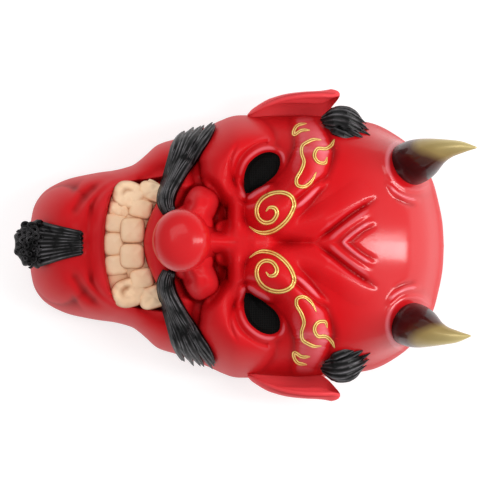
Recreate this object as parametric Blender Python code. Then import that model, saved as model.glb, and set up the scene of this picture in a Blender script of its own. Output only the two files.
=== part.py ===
"""A hollow resin demon-face mask lying on its rim, face up.

Frame: +X runs to the crown, +Y to the wearer's right, +Z out of the face. The origin is at the
middle of the rest plane. Shapes are worked out in millimetres and stored in metres.
"""

import math

import bmesh
import bpy
import numpy as np
from mathutils import Matrix, Vector
from mathutils.bvhtree import BVHTree

MM = 0.001

# The shell.
FACE_CENTRE_X = -3.0
# Half outline of the rim, from the crown to the chin: (x, half width).
OUTLINE = [
    (126.5, 0), (125.6, 15), (123, 28.5), (119.5, 41), (113, 54), (104, 64.5), (94.3, 71.8),
    (84.2, 77.2), (74, 79.8), (60, 81.8), (45, 83.2), (20, 83.6), (3, 83.6), (-7, 83.2),
    (-15, 80.5), (-23, 76.8), (-32, 73), (-42.3, 69), (-52.4, 66), (-57.5, 63.4), (-62.5, 58.8),
    (-67.6, 54.4), (-72.7, 51.2), (-82.8, 48.4), (-92.9, 47), (-103, 45.2), (-113.1, 42.8),
    (-123.3, 38.2), (-129.8, 33), (-134.6, 25), (-136.8, 13), (-137.4, 0),
]
WALL = 3.4
EDGE_POWER = 5.0
# Under the horns the shell keeps its height further out.
HORN_FULLNESS = 5.0
ANGLE_STEPS = 64
ROW_STEPS = 20
# Typical reach and height of the face, used to space the rows evenly.
PROFILE_REACH = 100
PROFILE_HEIGHT = 75
TOUCH_GAP = 0.35
SKIN_GAP = 0.5

# Mouth pocket and eye opening outlines (right half), in order round each opening.
MOUTH = [
    (-86, 0), (-84.5, 15), (-82, 28), (-76, 37), (-66, 39), (-55, 41), (-48, 41),
    (-49, 34), (-55, 25), (-61, 14), (-63, 0),
]
EYE = [
    (1.0, 31.0), (-0.6, 40.0), (2.4, 48.6), (9.0, 54.4), (15.8, 56.2),
    (20.8, 53.8), (21.6, 48.2), (19.0, 42.4), (13.4, 37.4), (6.8, 33.2),
]
POCKET_FLOOR = 60.0

# Horns: stations of (x, y, z, radius) along the right-hand one.
HORN_PATH = [
    (98, 48, 34, 12.2), (101, 49.2, 46, 13.3), (104, 50.3, 58, 13.7), (107, 51.6, 68, 13.0),
    (111, 53.4, 77.5, 11.1), (117, 55.4, 85.5, 8.3), (125, 57, 91.5, 5.4), (134, 57.4, 95.8, 3.2),
    (143.7, 57.2, 98.4, 0.6),
]

# Nose: stations of (x, z, radius along x, radius along y).
NOSE_PATH = [
    (-31, 74, 14.6, 14.8), (-33, 86, 14.6, 15.2), (-35, 97, 14.8, 15.8), (-36.5, 106, 16, 17.2),
    (-38, 115, 17, 19), (-38.6, 124, 16.8, 18.6), (-38.6, 132, 14, 15.4), (-38.6, 137, 7.6, 8.2),
]

# Ear: stations of (x, root y, outer y, outer z, inner z) along the right-hand one.
EAR_STATIONS = [
    (5, 74, 84.8, 33, 28), (14, 74, 90, 38, 24), (24, 74, 93.2, 42, 18), (36, 74.5, 94.5, 45, 16),
    (46, 78, 94.9, 45, 18), (53, 85, 94.9, 43, 25), (59, 91, 94.3, 40, 34),
]
EAR_THICK = 4.0

# Moustache lock: stations of (x, y, z, half width, half depth) for the right-hand one.
MOUSTACHE_PATH = [
    (-49, 15, 87, 3.6, 3.2), (-49.4, 25, 84, 5.0, 4.2), (-47, 38, 76, 6.4, 4.8),
    (-42, 50, 68, 8.4, 5.0),
    (-35, 62, 57, 9.6, 4.6), (-27.5, 71, 47, 7.6, 3.8), (-21.5, 79, 41, 2.0, 1.6),
]

# Goatee: stations of (x, z, half width, half depth).
GOATEE_PATH = [
    (-99, 68, 7.6, 3.0), (-106, 69.5, 9.0, 4.6), (-114, 67, 10.2, 6.0), (-122, 61, 11.6, 7.6),
    (-130, 55.5, 14.4, 9.8), (-137, 52.5, 13.6, 9.0), (-142.8, 51, 7.0, 5.0),
]

# Temple hair: centre and half sizes of the right-hand lock, and its turn about Z in degrees.
HAIR_CENTRE = (61.5, 77.5, 40)
HAIR_SIZE = (15.5, 8.6, 17)
HAIR_TURN = -14.0

# Tooth rows: stations of (x, y, z) of the row's middle line, from the middle to the corner.
UPPER_ROW = [(-69.6, 0, 67.5), (-69, 12, 67), (-66.5, 22, 64.5), (-60, 31, 60), (-54, 37, 55.5)]
LOWER_ROW = [(-80.5, 0, 65), (-79.5, 12, 64.5), (-77, 21, 63), (-73.5, 28, 60.5), (-70, 31.5, 58)]
UPPER_HALF = (6.6, 8.5)
LOWER_HALF = (5.6, 8.5)

# Foam pads: centre, half length, half width and thickness.
FOREHEAD_PAD = (74.0, 0.0, 20.0, 30.0, 9.0)
CHEEK_PAD = (-22.0, 46.0, 12.0, 11.0, 8.0)
PAD_GAP = 1.6
PAD_PROBE = 2.5
PAD_ROUNDING = 2.0
PAD_SIDES = 20
PAD_SQUARE = 0.7

# Strap tabs: a plate on the inner wall with a knuckle that holds a wire loop.
TAB_HEIGHT = 33.0
TAB_PLATE = (9.0, 7.0, 0.8)
PLATE_MID = 2.1
SCREW_RAISE = 2.0
KNUCKLE_RADIUS = 2.6
KNUCKLE_BORE = 1.35
KNUCKLE_HALF = 6.0
KNUCKLE_OFF = 4.7
KNUCKLE_DROP = 7.9
RING_WIRE = 1.1
RING_HALF = 11.0
RING_DROP = 15.0
SCREW_RADIUS = 1.5
SCREW_BITE = 2.2
SCREW_HEAD = (3.6, 1.4)
TAB_SPREAD = 7.0
TAB_ANGLES = {"left": -62.0, "right": 62.0, "crown": 0.0}


def clear_scene():
    for item in list(bpy.data.objects):
        bpy.data.objects.remove(item)


def material(name, colour, roughness, metallic=0.0):
    made = bpy.data.materials.new(name)
    made.use_nodes = True
    shader = made.node_tree.nodes["Principled BSDF"]
    shader.inputs["Base Color"].default_value = (*colour, 1.0)
    shader.inputs["Roughness"].default_value = roughness
    shader.inputs["Metallic"].default_value = metallic
    return made


def make_object(name, points, faces, finish, smooth=True):
    """One object from points in millimetres, with its faces turned outwards."""
    mesh = bpy.data.meshes.new(name)
    mesh.from_pydata([tuple(float(c) * MM for c in p) for p in points], [], [tuple(f) for f in faces])
    work = bmesh.new()
    work.from_mesh(mesh)
    bmesh.ops.recalc_face_normals(work, faces=work.faces)
    work.to_mesh(mesh)
    work.free()
    if smooth:
        mesh.shade_smooth()
        mesh.set_sharp_from_angle(angle=math.radians(40))
    if finish:
        mesh.materials.append(finish)
    made = bpy.data.objects.new(name, mesh)
    bpy.context.scene.collection.objects.link(made)
    return made


def hide(cutter):
    cutter.hide_render = True
    cutter.display_type = "WIRE"
    return cutter


def boolean(target, tool, operation="DIFFERENCE"):
    change = target.modifiers.new(tool.name, "BOOLEAN")
    change.operation = operation
    change.solver = "EXACT"
    change.object = tool


def smooth_line(points, steps):
    """Catmull-Rom curve through the points, with this many steps to each span."""
    given = np.array(points, float)
    padded = np.vstack([2 * given[0] - given[1], given, 2 * given[-1] - given[-2]])
    t = np.linspace(0, 1, steps, endpoint=False)[:, None]
    spans = []
    for a, b, c, d in zip(padded, padded[1:], padded[2:], padded[3:]):
        spans.append(0.5 * (2 * b + (c - a) * t + (2 * a - 5 * b + 4 * c - d) * t**2
                            + (3 * b - a - 3 * c + d) * t**3))
    return np.vstack([*spans, given[-1:]])


def closed_line(half, steps):
    """The whole outline from its right half, which starts and ends on the middle line."""
    right = smooth_line(half, steps)
    left = right[-2:0:-1] * (1, -1)
    return np.vstack([right, left])


def polar(x, y):
    return np.hypot(x - FACE_CENTRE_X, y), np.arctan2(y, x - FACE_CENTRE_X)


RIM = closed_line(OUTLINE, 12)
RIM_RADIUS, RIM_ANGLE = polar(RIM[:, 0], RIM[:, 1])
RIM_ORDER = np.argsort(RIM_ANGLE)


def rim_radius(angle):
    return np.interp(angle, RIM_ANGLE[RIM_ORDER], RIM_RADIUS[RIM_ORDER], period=2 * math.pi)


def smooth_max(a, b, blend):
    return 0.5 * (a + b + np.sqrt((a - b) ** 2 + blend**2))


def dome(x, y, centre, radii, foot, rise):
    """Height of half an ellipsoid on a foot, which keeps falling outside its edge."""
    q = np.sqrt(((x - centre[0]) / radii[0]) ** 2 + ((np.abs(y) - centre[1]) / radii[1]) ** 2)
    return foot + rise * np.sqrt(np.clip(1 - q**2, 0, 1)) - 60 * np.clip(q - 1, 0, None)


def distance_to_line(x, y, points):
    """Distance in plan from each place to a line of straight runs."""
    line = np.array(points, float)
    best = np.full(np.shape(x), np.inf)
    for a, b in zip(line, line[1:]):
        run = b - a
        along = np.clip(((x - a[0]) * run[0] + (y - a[1]) * run[1]) / (run @ run), 0, 1)
        best = np.minimum(best, np.hypot(x - a[0] - along * run[0], y - a[1] - along * run[1]))
    return best


def ridge(x, y, points, radius, foot, rise):
    q = distance_to_line(x, np.abs(y), points) / radius
    return foot + rise * np.sqrt(np.clip(1 - q**2, 0, 1)) - 60 * np.clip(q - 1, 0, None)


def inside_line(x, y, points):
    """Whether each place is inside the closed outline, by counting crossings."""
    line = np.array(points, float)
    crossings = np.zeros(np.shape(x), int)
    for a, b in zip(line, np.roll(line, -1, axis=0)):
        spans = (a[1] > y) != (b[1] > y)
        slope = (b[0] - a[0]) / (b[1] - a[1] if b[1] != a[1] else 1.0)
        crossings += spans & (x < a[0] + (y - a[1]) * slope)
    return crossings % 2 == 1


def signed_distance(x, y, points):
    """Distance to a closed outline, negative inside it."""
    away = distance_to_line(x, y, np.vstack([points, points[:1]]))
    return np.where(inside_line(x, y, points), -away, away)


def face_height(x, y):
    """Height of the outer skin over the rim plane, at places in plan."""
    x = np.asarray(x, float)
    y = np.asarray(y, float)
    radius, angle = polar(x, y)
    share = np.clip(radius / rim_radius(angle), 0, 1)
    middle = np.interp(x, [-137, -100, -60, -20, 30, 80, 126], [47, 57, 62, 72, 83, 83, 73])
    height = middle - 12 * (y / 70) ** 2
    height = smooth_max(height, dome(x, y, (-3, 57), (27, 26), 54, 35), 3)
    height = smooth_max(height, dome(x, y, (17, 20), (19, 17), 72, 26), 4)
    height = smooth_max(height, ridge(x, y, [(22, 21), (35, 38), (42, 56), (38, 76)], 14, 62, 32), 3)
    height = smooth_max(height, ridge(x, y, [(-36, 0), (-4, 0)], 11, 74, 20), 3)
    height = smooth_max(height, dome(x, y, (-27.5, 20.5), (12.5, 14), 66, 27), 2)
    height = smooth_max(height, dome(x, y, (-47, 0), (16, 38), 60, 27), 2)
    height = smooth_max(height, ridge(x, y, [(-93, 0), (-91, 22), (-80, 40), (-60, 48)], 9, 56, 16), 2)
    height = smooth_max(height, dome(x, y, (-115, 0), (22, 36), 49, 34), 2)
    height = smooth_max(height, dome(x, y, (-46, 52), (26, 20), 46, 26), 2)
    socket = ((x - 10) / 17) ** 2 + ((np.abs(y) - 44) / 19) ** 2
    height = height - 9 * np.exp(-(socket**2))
    pit = ((x - 21) / 8) ** 2 + (y / 5) ** 2
    height = height - 8 * np.exp(-pit)
    mouth = signed_distance(x, y, MOUTH_LINE)
    into = np.clip(0.6 - mouth / 3, 0, 1)
    floor = POCKET_FLOOR - 10 * (y / 40) ** 2
    height = height + (floor - height) * into * into * (3 - 2 * into)
    fuller = HORN_FULLNESS * np.exp(-(((x - 104) / 24) ** 2) - ((np.abs(y) - 56) / 17) ** 2)
    return height * (1 - share ** (EDGE_POWER + fuller)) ** (1 / 2.2)


MOUTH_LINE = closed_line(MOUTH, 4)


def skin_grid():
    """Points of the outer skin: one at the middle, then rows of them out to the rim."""
    turn = np.linspace(0, math.pi / 2, 400)
    profile_r = np.sin(turn) ** 0.8
    profile_z = np.cos(turn) ** 0.9
    out, fall = np.diff(profile_r, prepend=0), np.diff(profile_z, prepend=1)
    travel = np.cumsum(np.hypot(out * PROFILE_REACH, fall * PROFILE_HEIGHT))
    wanted = np.linspace(0, travel[-1], ROW_STEPS + 1)[1:]
    share = np.interp(wanted, travel, profile_r)
    share[-1] = 1.0
    angle = np.arange(ANGLE_STEPS) * 2 * math.pi / ANGLE_STEPS
    reach = rim_radius(angle)
    x = FACE_CENTRE_X + share[:, None] * (reach * np.cos(angle))
    y = share[:, None] * (reach * np.sin(angle))
    z = face_height(x, y)
    z[-1] = 0.0
    middle = [[FACE_CENTRE_X, 0.0, float(face_height(FACE_CENTRE_X, 0.0))]]
    return np.vstack([middle, np.stack([x, y, z], axis=-1).reshape(-1, 3)])


def grid_faces(start, flip):
    """Triangles over a middle point and its rows, numbered from start."""
    faces = []
    for k in range(ANGLE_STEPS):
        after = (k + 1) % ANGLE_STEPS
        faces.append((start, start + 1 + k, start + 1 + after))
        for row in range(ROW_STEPS - 1):
            low = start + 1 + row * ANGLE_STEPS
            high = low + ANGLE_STEPS
            faces.append((low + k, high + k, high + after))
            faces.append((low + k, high + after, low + after))
    return [face[::-1] for face in faces] if flip else faces


def inner_skin(outer):
    """The outer skin moved in by the wall, and kept under its low places so the wall stays thick."""
    rows = outer[1:].reshape(ROW_STEPS, ANGLE_STEPS, 3)
    z = rows[..., 2]
    lowest = z.copy()
    for shift in (1, -1):
        lowest = np.minimum(lowest, np.roll(z, shift, axis=1))
    padded = np.vstack([z[:1], z])
    lowest = np.minimum(lowest, padded[:-1])
    middle_z = min(outer[0, 2], z[0].min()) - WALL
    reach = np.hypot(rows[-1, :, 0] - FACE_CENTRE_X, rows[-1, :, 1])
    shrink = 1 - WALL / reach
    x = FACE_CENTRE_X + (rows[..., 0] - FACE_CENTRE_X) * shrink
    y = rows[..., 1] * shrink
    smooth = lowest - WALL
    for _ in range(3):
        around = (np.roll(smooth, 1, axis=1) + np.roll(smooth, -1, axis=1)) / 2
        smooth = np.minimum(smooth, (smooth + around) / 2)
    smooth = np.clip(smooth, 0.4 * z, None)
    smooth[-1] = 0.0
    middle = [[FACE_CENTRE_X, 0.0, middle_z]]
    return np.vstack([middle, np.stack([x, y, smooth], axis=-1).reshape(-1, 3)])


def shell_mesh():
    outer = skin_grid()
    inner = inner_skin(outer)
    count = len(outer)
    faces = grid_faces(0, False) + grid_faces(count, True)
    last = 1 + (ROW_STEPS - 1) * ANGLE_STEPS
    for k in range(ANGLE_STEPS):
        after = (k + 1) % ANGLE_STEPS
        faces.append((last + k, count + last + k, count + last + after))
        faces.append((last + k, count + last + after, last + after))
    return np.vstack([outer, inner]), faces, outer, inner


def solid_under_skin(outer):
    """A cutter: everything under the outer skin, and a touch gap more."""
    mesh = bpy.data.meshes.new("under_skin")
    faces = grid_faces(0, False)
    mesh.from_pydata([tuple(p) for p in outer], [], faces)
    normals = np.array([v.normal[:] for v in mesh.vertices])
    bpy.data.meshes.remove(mesh)
    raised = outer + normals * SKIN_GAP + (0, 0, SKIN_GAP)
    last = 1 + (ROW_STEPS - 1) * ANGLE_STEPS
    bottom = raised[last:] * (1, 1, 0) + (0, 0, -5)
    foot = len(raised)
    for k in range(ANGLE_STEPS):
        after = (k + 1) % ANGLE_STEPS
        faces.append((last + k, foot + k, foot + after))
        faces.append((last + k, foot + after, last + after))
    faces.append([foot + k for k in range(ANGLE_STEPS)][::-1])
    return hide(make_object("under_skin", np.vstack([raised, bottom]), faces, None))


def loft(name, rings, finish):
    """One closed body through rings of points, with a flat cap at each end."""
    count = len(rings[0])
    faces = [list(range(count))[::-1]]
    for row in range(len(rings) - 1):
        for k in range(count):
            after = (k + 1) % count
            low = row * count
            faces.append((low + k, low + after, low + count + after, low + count + k))
    faces.append([(len(rings) - 1) * count + k for k in range(count)])
    return make_object(name, np.vstack(rings), faces, finish)


def tube_rings(centres, wide, deep, sides, across=None):
    """Elliptic rings square to a path: wide is across the path in plan, deep at right angles."""
    path = np.array(centres, float)
    ahead = np.gradient(path, axis=0)
    ahead /= np.linalg.norm(ahead, axis=1)[:, None]
    turn = np.arange(sides) * 2 * math.pi / sides
    rings = []
    for centre, along, half_wide, half_deep in zip(path, ahead, wide, deep):
        side = np.cross((0, 0, 1), along) if across is None else np.array(across, float)
        side -= along * (side @ along)
        side /= np.linalg.norm(side)
        up = np.cross(along, side)
        rings.append(centre + half_wide * np.cos(turn)[:, None] * side
                     + half_deep * np.sin(turn)[:, None] * up)
    return rings


def mirrored(rings, sign):
    return [ring * (1, sign, 1) for ring in rings]


def horn_rings(sign, extra, last_station):
    line = smooth_line(HORN_PATH[:last_station], 2)
    wide, deep = line[:, 3] * 1.08 + extra, line[:, 3] * 0.94 + extra
    rings = tube_rings(line[:, :3], wide, deep, 16, across=(0, 1, 0))
    return mirrored(rings, sign)


def ear_rings(sign, extra=0.0):
    """Leaf sections from the root on the head to the free rim, hollowed on the face side."""
    line = smooth_line(EAR_STATIONS, 2)
    line[0, 0] -= extra
    line[-1, 0] += extra
    rings = []
    for x, root_y, outer_y, high, low in line:
        reach = np.linspace(0, 1, 5)
        y = root_y + (outer_y - root_y) * reach + extra * (2 * reach - 1)
        face = low + (high - low) * reach**0.8 - 2.5 * np.sin(reach * math.pi) + extra
        back = face - EAR_THICK * (1 - 0.35 * reach) - 2 * extra
        upper = np.stack([np.full(5, x), y, face], axis=-1)
        lower = np.stack([np.full(5, x), y - 1.2 * reach, back], axis=-1)
        rings.append(np.vstack([upper, lower[::-1]]) * (1, sign, 1))
    return rings


def tooth_rings(row, half, sides=8):
    """A row of tooth crowns as one bar that swells at each crown."""
    right = smooth_line(row, 4)
    line = np.vstack([right[:0:-1] * (1, -1, 1), right])
    swell = 1 - 0.10 * np.abs(np.sin(np.arange(len(line)) * math.pi / 4))
    taper = np.interp(np.abs(line[:, 1]), [0, 26, 38], [1, 0.95, 0.62])
    return tube_rings(line, half[0] * swell * taper, half[1] * swell * taper, sides)


def hair_solid(name, sign, finish):
    """A lock of combed hair: an ellipsoid turned about Z, later cut to sit on the head."""
    turn = math.radians(HAIR_TURN)
    rings = []
    for lean in np.linspace(-0.96, 0.96, 9):
        ring = []
        size = math.sqrt(1 - lean * lean)
        for step in range(14):
            around = step * 2 * math.pi / 14
            x = HAIR_SIZE[0] * lean
            y = HAIR_SIZE[1] * size * math.cos(around)
            z = HAIR_SIZE[2] * size * math.sin(around)
            ring.append((HAIR_CENTRE[0] + x * math.cos(turn) - y * math.sin(turn),
                         sign * (HAIR_CENTRE[1] + x * math.sin(turn) + y * math.cos(turn)),
                         HAIR_CENTRE[2] + z))
        rings.append(np.array(ring))
    return loft(name, rings, finish)


def eye_screen(name, sign, finish):
    """A thin plate that fills the eye opening, dropped under the lids."""
    outline = np.vstack([smooth_line([*EYE, EYE[0]], 2)[:-1]])
    middle = outline.mean(axis=0)
    away = outline - middle
    edge = middle + away * (1 - 0.45 / np.linalg.norm(away, axis=1))[:, None]
    count = len(edge)
    z = face_height(edge[:, 0], edge[:, 1])
    tilt = np.linalg.lstsq(np.column_stack([edge, np.ones(count)]), z, rcond=None)[0]
    flat = np.column_stack([edge, np.ones(count)]) @ tilt
    top = np.column_stack([edge, flat - 3.0]) * (1, sign, 1)
    under = top - (0, 0, 1.2)
    return loft(name, [under, top], finish)


def eye_cutter(name, sign):
    outline = smooth_line([*EYE, EYE[0]], 2)[:-1]
    rings = [np.column_stack([outline, np.full(len(outline), z)]) * (1, sign, 1) for z in (20.0, 120.0)]
    return hide(loft(name, rings, None))


def skin_tree(points):
    return BVHTree.FromPolygons([tuple(p) for p in points], grid_faces(0, False))


def foam_pad(name, tree, centre_x, centre_y, half_x, half_y, thick, finish):
    """A rounded slab whose face follows the inner skin."""
    rings = []
    for share in (0.45, 0.8, 1.0):
        turn = np.arange(PAD_SIDES) * 2 * math.pi / PAD_SIDES
        x = centre_x + half_x * share * np.sign(np.cos(turn)) * np.abs(np.cos(turn)) ** PAD_SQUARE
        y = centre_y + half_y * share * np.sign(np.sin(turn)) * np.abs(np.sin(turn)) ** PAD_SQUARE
        rings.append((x, y, share))
    heights = []
    for x, y, share in rings:
        found = [min(tree.ray_cast(Vector((a + dx, b + dy, -5.0)), Vector((0, 0, 1)))[0].z
                     for dx in (-PAD_PROBE, 0, PAD_PROBE) for dy in (-PAD_PROBE, 0, PAD_PROBE))
                 for a, b in zip(x, y)]
        heights.append(np.array(found))
    top, low = [], []
    for (x, y, share), z in zip(rings, heights):
        rounding = PAD_ROUNDING * share**4
        top.append(np.column_stack([x, y, z - PAD_GAP - rounding]))
        low.append(np.column_stack([x, y, z - PAD_GAP - thick + rounding]))
    return loft(name, [*top, *low[::-1]], finish)


def wall_frame(tree, angle_degrees):
    """Place on the inner wall at the tab's height, with its inward, sideways and upward directions."""

    def wall(turn, height):
        angle = math.radians(angle_degrees + turn)
        outward = Vector((math.cos(angle), math.sin(angle), 0))
        return tree.ray_cast(Vector((FACE_CENTRE_X, 0, height)), outward)[0]

    side = (wall(TAB_SPREAD, TAB_HEIGHT) - wall(-TAB_SPREAD, TAB_HEIGHT)).normalized()
    slope = (wall(0, TAB_HEIGHT + 5) - wall(0, TAB_HEIGHT - 5)).normalized()
    up = (slope - side * slope.dot(side)).normalized()
    return wall(0, TAB_HEIGHT), side.cross(up) * -1, side, up


def local_loft(name, rings, place, finish):
    """A loft given in a tab's own frame: sideways, upwards, inwards."""
    spot, inward, side, up = place
    turned = []
    for ring in rings:
        turned.append(np.array([spot + side * p[0] + up * p[1] + inward * p[2] for p in ring]))
    return loft(name, turned, finish)


def circle(radius, sides, at):
    turn = np.arange(sides) * 2 * math.pi / sides
    return [at(radius * math.cos(t), radius * math.sin(t)) for t in turn]


def strap_tab(side_name, place, metal):
    """Plate, knuckle and bore in the tab's own frame, with the plate clear of the wall."""
    plate = local_loft(f"strap_tab_{side_name}", [
        [(-TAB_PLATE[0], -TAB_PLATE[1], z), (TAB_PLATE[0], -TAB_PLATE[1], z),
         (TAB_PLATE[0], TAB_PLATE[1], z), (-TAB_PLATE[0], TAB_PLATE[1], z)]
        for z in (PLATE_MID - TAB_PLATE[2], PLATE_MID + TAB_PLATE[2])], place, metal)
    low = -KNUCKLE_DROP
    knuckle = hide(local_loft(f"knuckle_{side_name}", [
        circle(KNUCKLE_RADIUS, 16, lambda a, b, s=s: (s, low + a, KNUCKLE_OFF + b))
        for s in (-KNUCKLE_HALF, KNUCKLE_HALF)], place, None))
    bore = hide(local_loft(f"bore_{side_name}", [
        circle(KNUCKLE_BORE, 16, lambda a, b, s=s: (s, low + a, KNUCKLE_OFF + b))
        for s in (-KNUCKLE_HALF - 6, KNUCKLE_HALF + 6)], place, None))
    hole_rings = [
        circle(SCREW_RADIUS + 0.3, 14, lambda a, b, z=z: (a, b + SCREW_RAISE, z))
        for z in (-SCREW_BITE - 0.4, 6.0)
    ]
    hole = hide(local_loft(f"tab_hole_{side_name}", hole_rings, place, None))
    boolean(plate, knuckle, "UNION")
    boolean(plate, bore)
    boolean(plate, hole)
    return plate, hole


def strap_screw(side_name, place, metal):
    """Pan-head screw through the tab into a blind hole in the wall."""
    under_head = PLATE_MID + TAB_PLATE[2] + 0.3
    stations = [
        (under_head + SCREW_HEAD[1], 2.0), (under_head + 0.5, SCREW_HEAD[0]),
        (under_head, SCREW_HEAD[0]),
        (under_head, SCREW_RADIUS), (0.5 - SCREW_BITE, SCREW_RADIUS), (-SCREW_BITE, 0.9),
    ]
    rings = [circle(radius, 14, lambda a, b, z=z: (a, b + SCREW_RAISE, z)) for z, radius in stations]
    return local_loft(f"strap_screw_{side_name}", rings, place, metal)


def strap_ring(side_name, place, metal):
    """A round-cornered wire loop, threaded through the knuckle and hanging straight down."""
    spot, inward, side, up = place
    pivot = spot - up * KNUCKLE_DROP + inward * KNUCKLE_OFF
    corner = 2.6
    across, under = RING_HALF - corner, corner - RING_DROP
    corners = ((across, -corner, 90), (across, under, 0), (-across, under, -90), (-across, -corner, 180))
    loop = []
    for cx, cy, start in corners:
        for step in range(4):
            turn = math.radians(start - 30 * step)
            loop.append((cx + corner * math.cos(turn), cy + corner * math.sin(turn)))
    loop = np.array(loop)
    down = Vector((0, 0, 1))
    path = np.array([pivot + side * a + down * b for a, b in loop])
    ahead = np.roll(path, -1, axis=0) - np.roll(path, 1, axis=0)
    ahead /= np.linalg.norm(ahead, axis=1)[:, None]
    plane = np.array(side.cross(down).normalized())
    turn = np.arange(8) * 2 * math.pi / 8
    rings = []
    for place_on, along in zip(path, ahead):
        other = np.cross(along, plane)
        rings.append(place_on + RING_WIRE * (np.cos(turn)[:, None] * plane + np.sin(turn)[:, None] * other))
    faces = []
    count = len(rings)
    for row in range(count):
        for k in range(8):
            after = (k + 1) % 8
            low = row * 8
            high = ((row + 1) % count) * 8
            faces.append((low + k, low + after, high + after, high + k))
    ring = make_object(f"strap_ring_{side_name}", np.vstack(rings), faces, metal)
    origin = pivot * MM
    ring.data.transform(Matrix.Translation(-origin))
    ring.location = origin
    return ring, pivot


def build():
    clear_scene()
    red = material("red_lacquer", (0.60, 0.012, 0.018), 0.28)
    black = material("black_hair", (0.02, 0.02, 0.022), 0.45)
    horn = material("horn", (0.30, 0.20, 0.07), 0.35)
    ivory = material("tooth", (0.78, 0.55, 0.36), 0.55)
    mesh_black = material("screen", (0.01, 0.01, 0.01), 0.8)
    foam = material("foam", (0.05, 0.05, 0.055), 0.95)
    metal = material("steel", (0.6, 0.6, 0.62), 0.3, 1.0)

    points, faces, outer, inner = shell_mesh()
    shell = make_object("face_shell", points, faces, red)
    skin = solid_under_skin(outer)
    tree = skin_tree(inner)

    for sign, side_name in ((1, "right"), (-1, "left")):
        boolean(shell, eye_cutter(f"eye_cutter_{side_name}", sign))
        eye_screen(f"eye_screen_{side_name}", sign, mesh_black)
        loft(f"horn_{side_name}", horn_rings(sign, 0.0, len(HORN_PATH)), horn)
        boolean(shell, hide(loft(f"horn_socket_{side_name}", horn_rings(sign, 0.5, 5), None)))
        boolean(loft(f"ear_{side_name}", ear_rings(sign), red), skin)
        line = smooth_line(MOUSTACHE_PATH, 2)
        rings = mirrored(tube_rings(line[:, :3], line[:, 3], line[:, 4], 12), sign)
        boolean(loft(f"moustache_{side_name}", rings, black), skin)
        hair = hair_solid(f"temple_hair_{side_name}", sign, black)
        boolean(hair, skin)
        boolean(hair, hide(loft(f"ear_clearance_{side_name}", ear_rings(sign, 0.7), None)))
        cheek_x, cheek_y, *cheek_sizes = CHEEK_PAD
        foam_pad(f"cheek_pad_{side_name}", tree, cheek_x, sign * cheek_y, *cheek_sizes, foam)

    nose_line = smooth_line(NOSE_PATH, 2)
    nose_centres = np.column_stack([nose_line[:, 0], np.zeros(len(nose_line)), nose_line[:, 1]])
    nose_rings = tube_rings(nose_centres, nose_line[:, 3], nose_line[:, 2], 16, across=(0, 1, 0))
    boolean(loft("nose_bulb", nose_rings, red), skin)

    goatee_line = smooth_line(GOATEE_PATH, 2)
    goatee_centres = np.column_stack([goatee_line[:, 0], np.zeros(len(goatee_line)), goatee_line[:, 1]])
    wide, deep = goatee_line[:, 2], goatee_line[:, 3]
    goatee_rings = tube_rings(goatee_centres, wide, deep, 14, across=(0, 1, 0))
    boolean(loft("goatee", goatee_rings, black), skin)

    boolean(loft("upper_teeth", tooth_rings(UPPER_ROW, UPPER_HALF), ivory), skin)
    lower = loft("lower_teeth", tooth_rings(LOWER_ROW, LOWER_HALF), ivory)
    boolean(lower, skin)
    grown = (UPPER_HALF[0] + TOUCH_GAP, UPPER_HALF[1] + TOUCH_GAP)
    boolean(lower, hide(loft("upper_clearance", tooth_rings(UPPER_ROW, grown), None)))

    foam_pad("forehead_pad", tree, *FOREHEAD_PAD, foam)

    for side_name, angle in TAB_ANGLES.items():
        place = wall_frame(tree, angle)
        _, hole = strap_tab(side_name, place, metal)
        boolean(shell, hole)
        strap_screw(side_name, place, metal)
        _, pivot = strap_ring(side_name, place, metal)
        print("pivot", side_name, [round(c, 3) for c in pivot], "axis", [round(c, 4) for c in place[2]])


build()
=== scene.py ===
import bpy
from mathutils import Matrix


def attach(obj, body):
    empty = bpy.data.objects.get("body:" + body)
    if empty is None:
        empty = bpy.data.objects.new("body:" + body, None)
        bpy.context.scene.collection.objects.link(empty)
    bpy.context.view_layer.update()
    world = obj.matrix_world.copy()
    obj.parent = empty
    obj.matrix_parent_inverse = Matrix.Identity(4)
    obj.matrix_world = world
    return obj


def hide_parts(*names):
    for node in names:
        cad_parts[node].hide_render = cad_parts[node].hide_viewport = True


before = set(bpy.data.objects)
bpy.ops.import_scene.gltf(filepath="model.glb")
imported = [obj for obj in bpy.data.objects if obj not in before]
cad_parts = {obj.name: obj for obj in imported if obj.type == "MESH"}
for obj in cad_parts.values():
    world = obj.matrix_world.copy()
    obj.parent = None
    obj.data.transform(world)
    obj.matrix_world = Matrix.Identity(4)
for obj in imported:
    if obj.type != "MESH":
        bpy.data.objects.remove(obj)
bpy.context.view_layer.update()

# ---------------------------------------------------------------------------
# Stage. The mask lies on its rim on a pale table, under two broad soft boxes and a white room.
# The camera looks straight down on it with the crown to the right.
# ---------------------------------------------------------------------------
import math

import bmesh
import bpy
import numpy as np
from mathutils import Vector
from mathutils.bvhtree import BVHTree

CAMERA_REACH = 2.0
CAMERA_LENS = 232.0
CAMERA_LEAN = math.radians(1.7)
AIM = (0.0031, -0.0038, 0.055)
ROOM_STRENGTH = 0.58
FLOOR_REACH = 3.0
FLOOR_DROP = 0.0004
FLOOR_GREY = 0.42
FLOOR_GLOW = 0.68

camera_data = bpy.data.cameras.new("camera")
camera_data.lens = CAMERA_LENS
camera = bpy.data.objects.new("camera", camera_data)
camera.location = (
    AIM[0],
    AIM[1] - CAMERA_REACH * math.sin(CAMERA_LEAN),
    AIM[2] + CAMERA_REACH * math.cos(CAMERA_LEAN),
)
camera.rotation_euler = (CAMERA_LEAN, 0.0, 0.0)
bpy.context.scene.collection.objects.link(camera)
bpy.context.scene.camera = camera
bpy.context.scene.view_settings.view_transform = "Standard"

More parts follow.
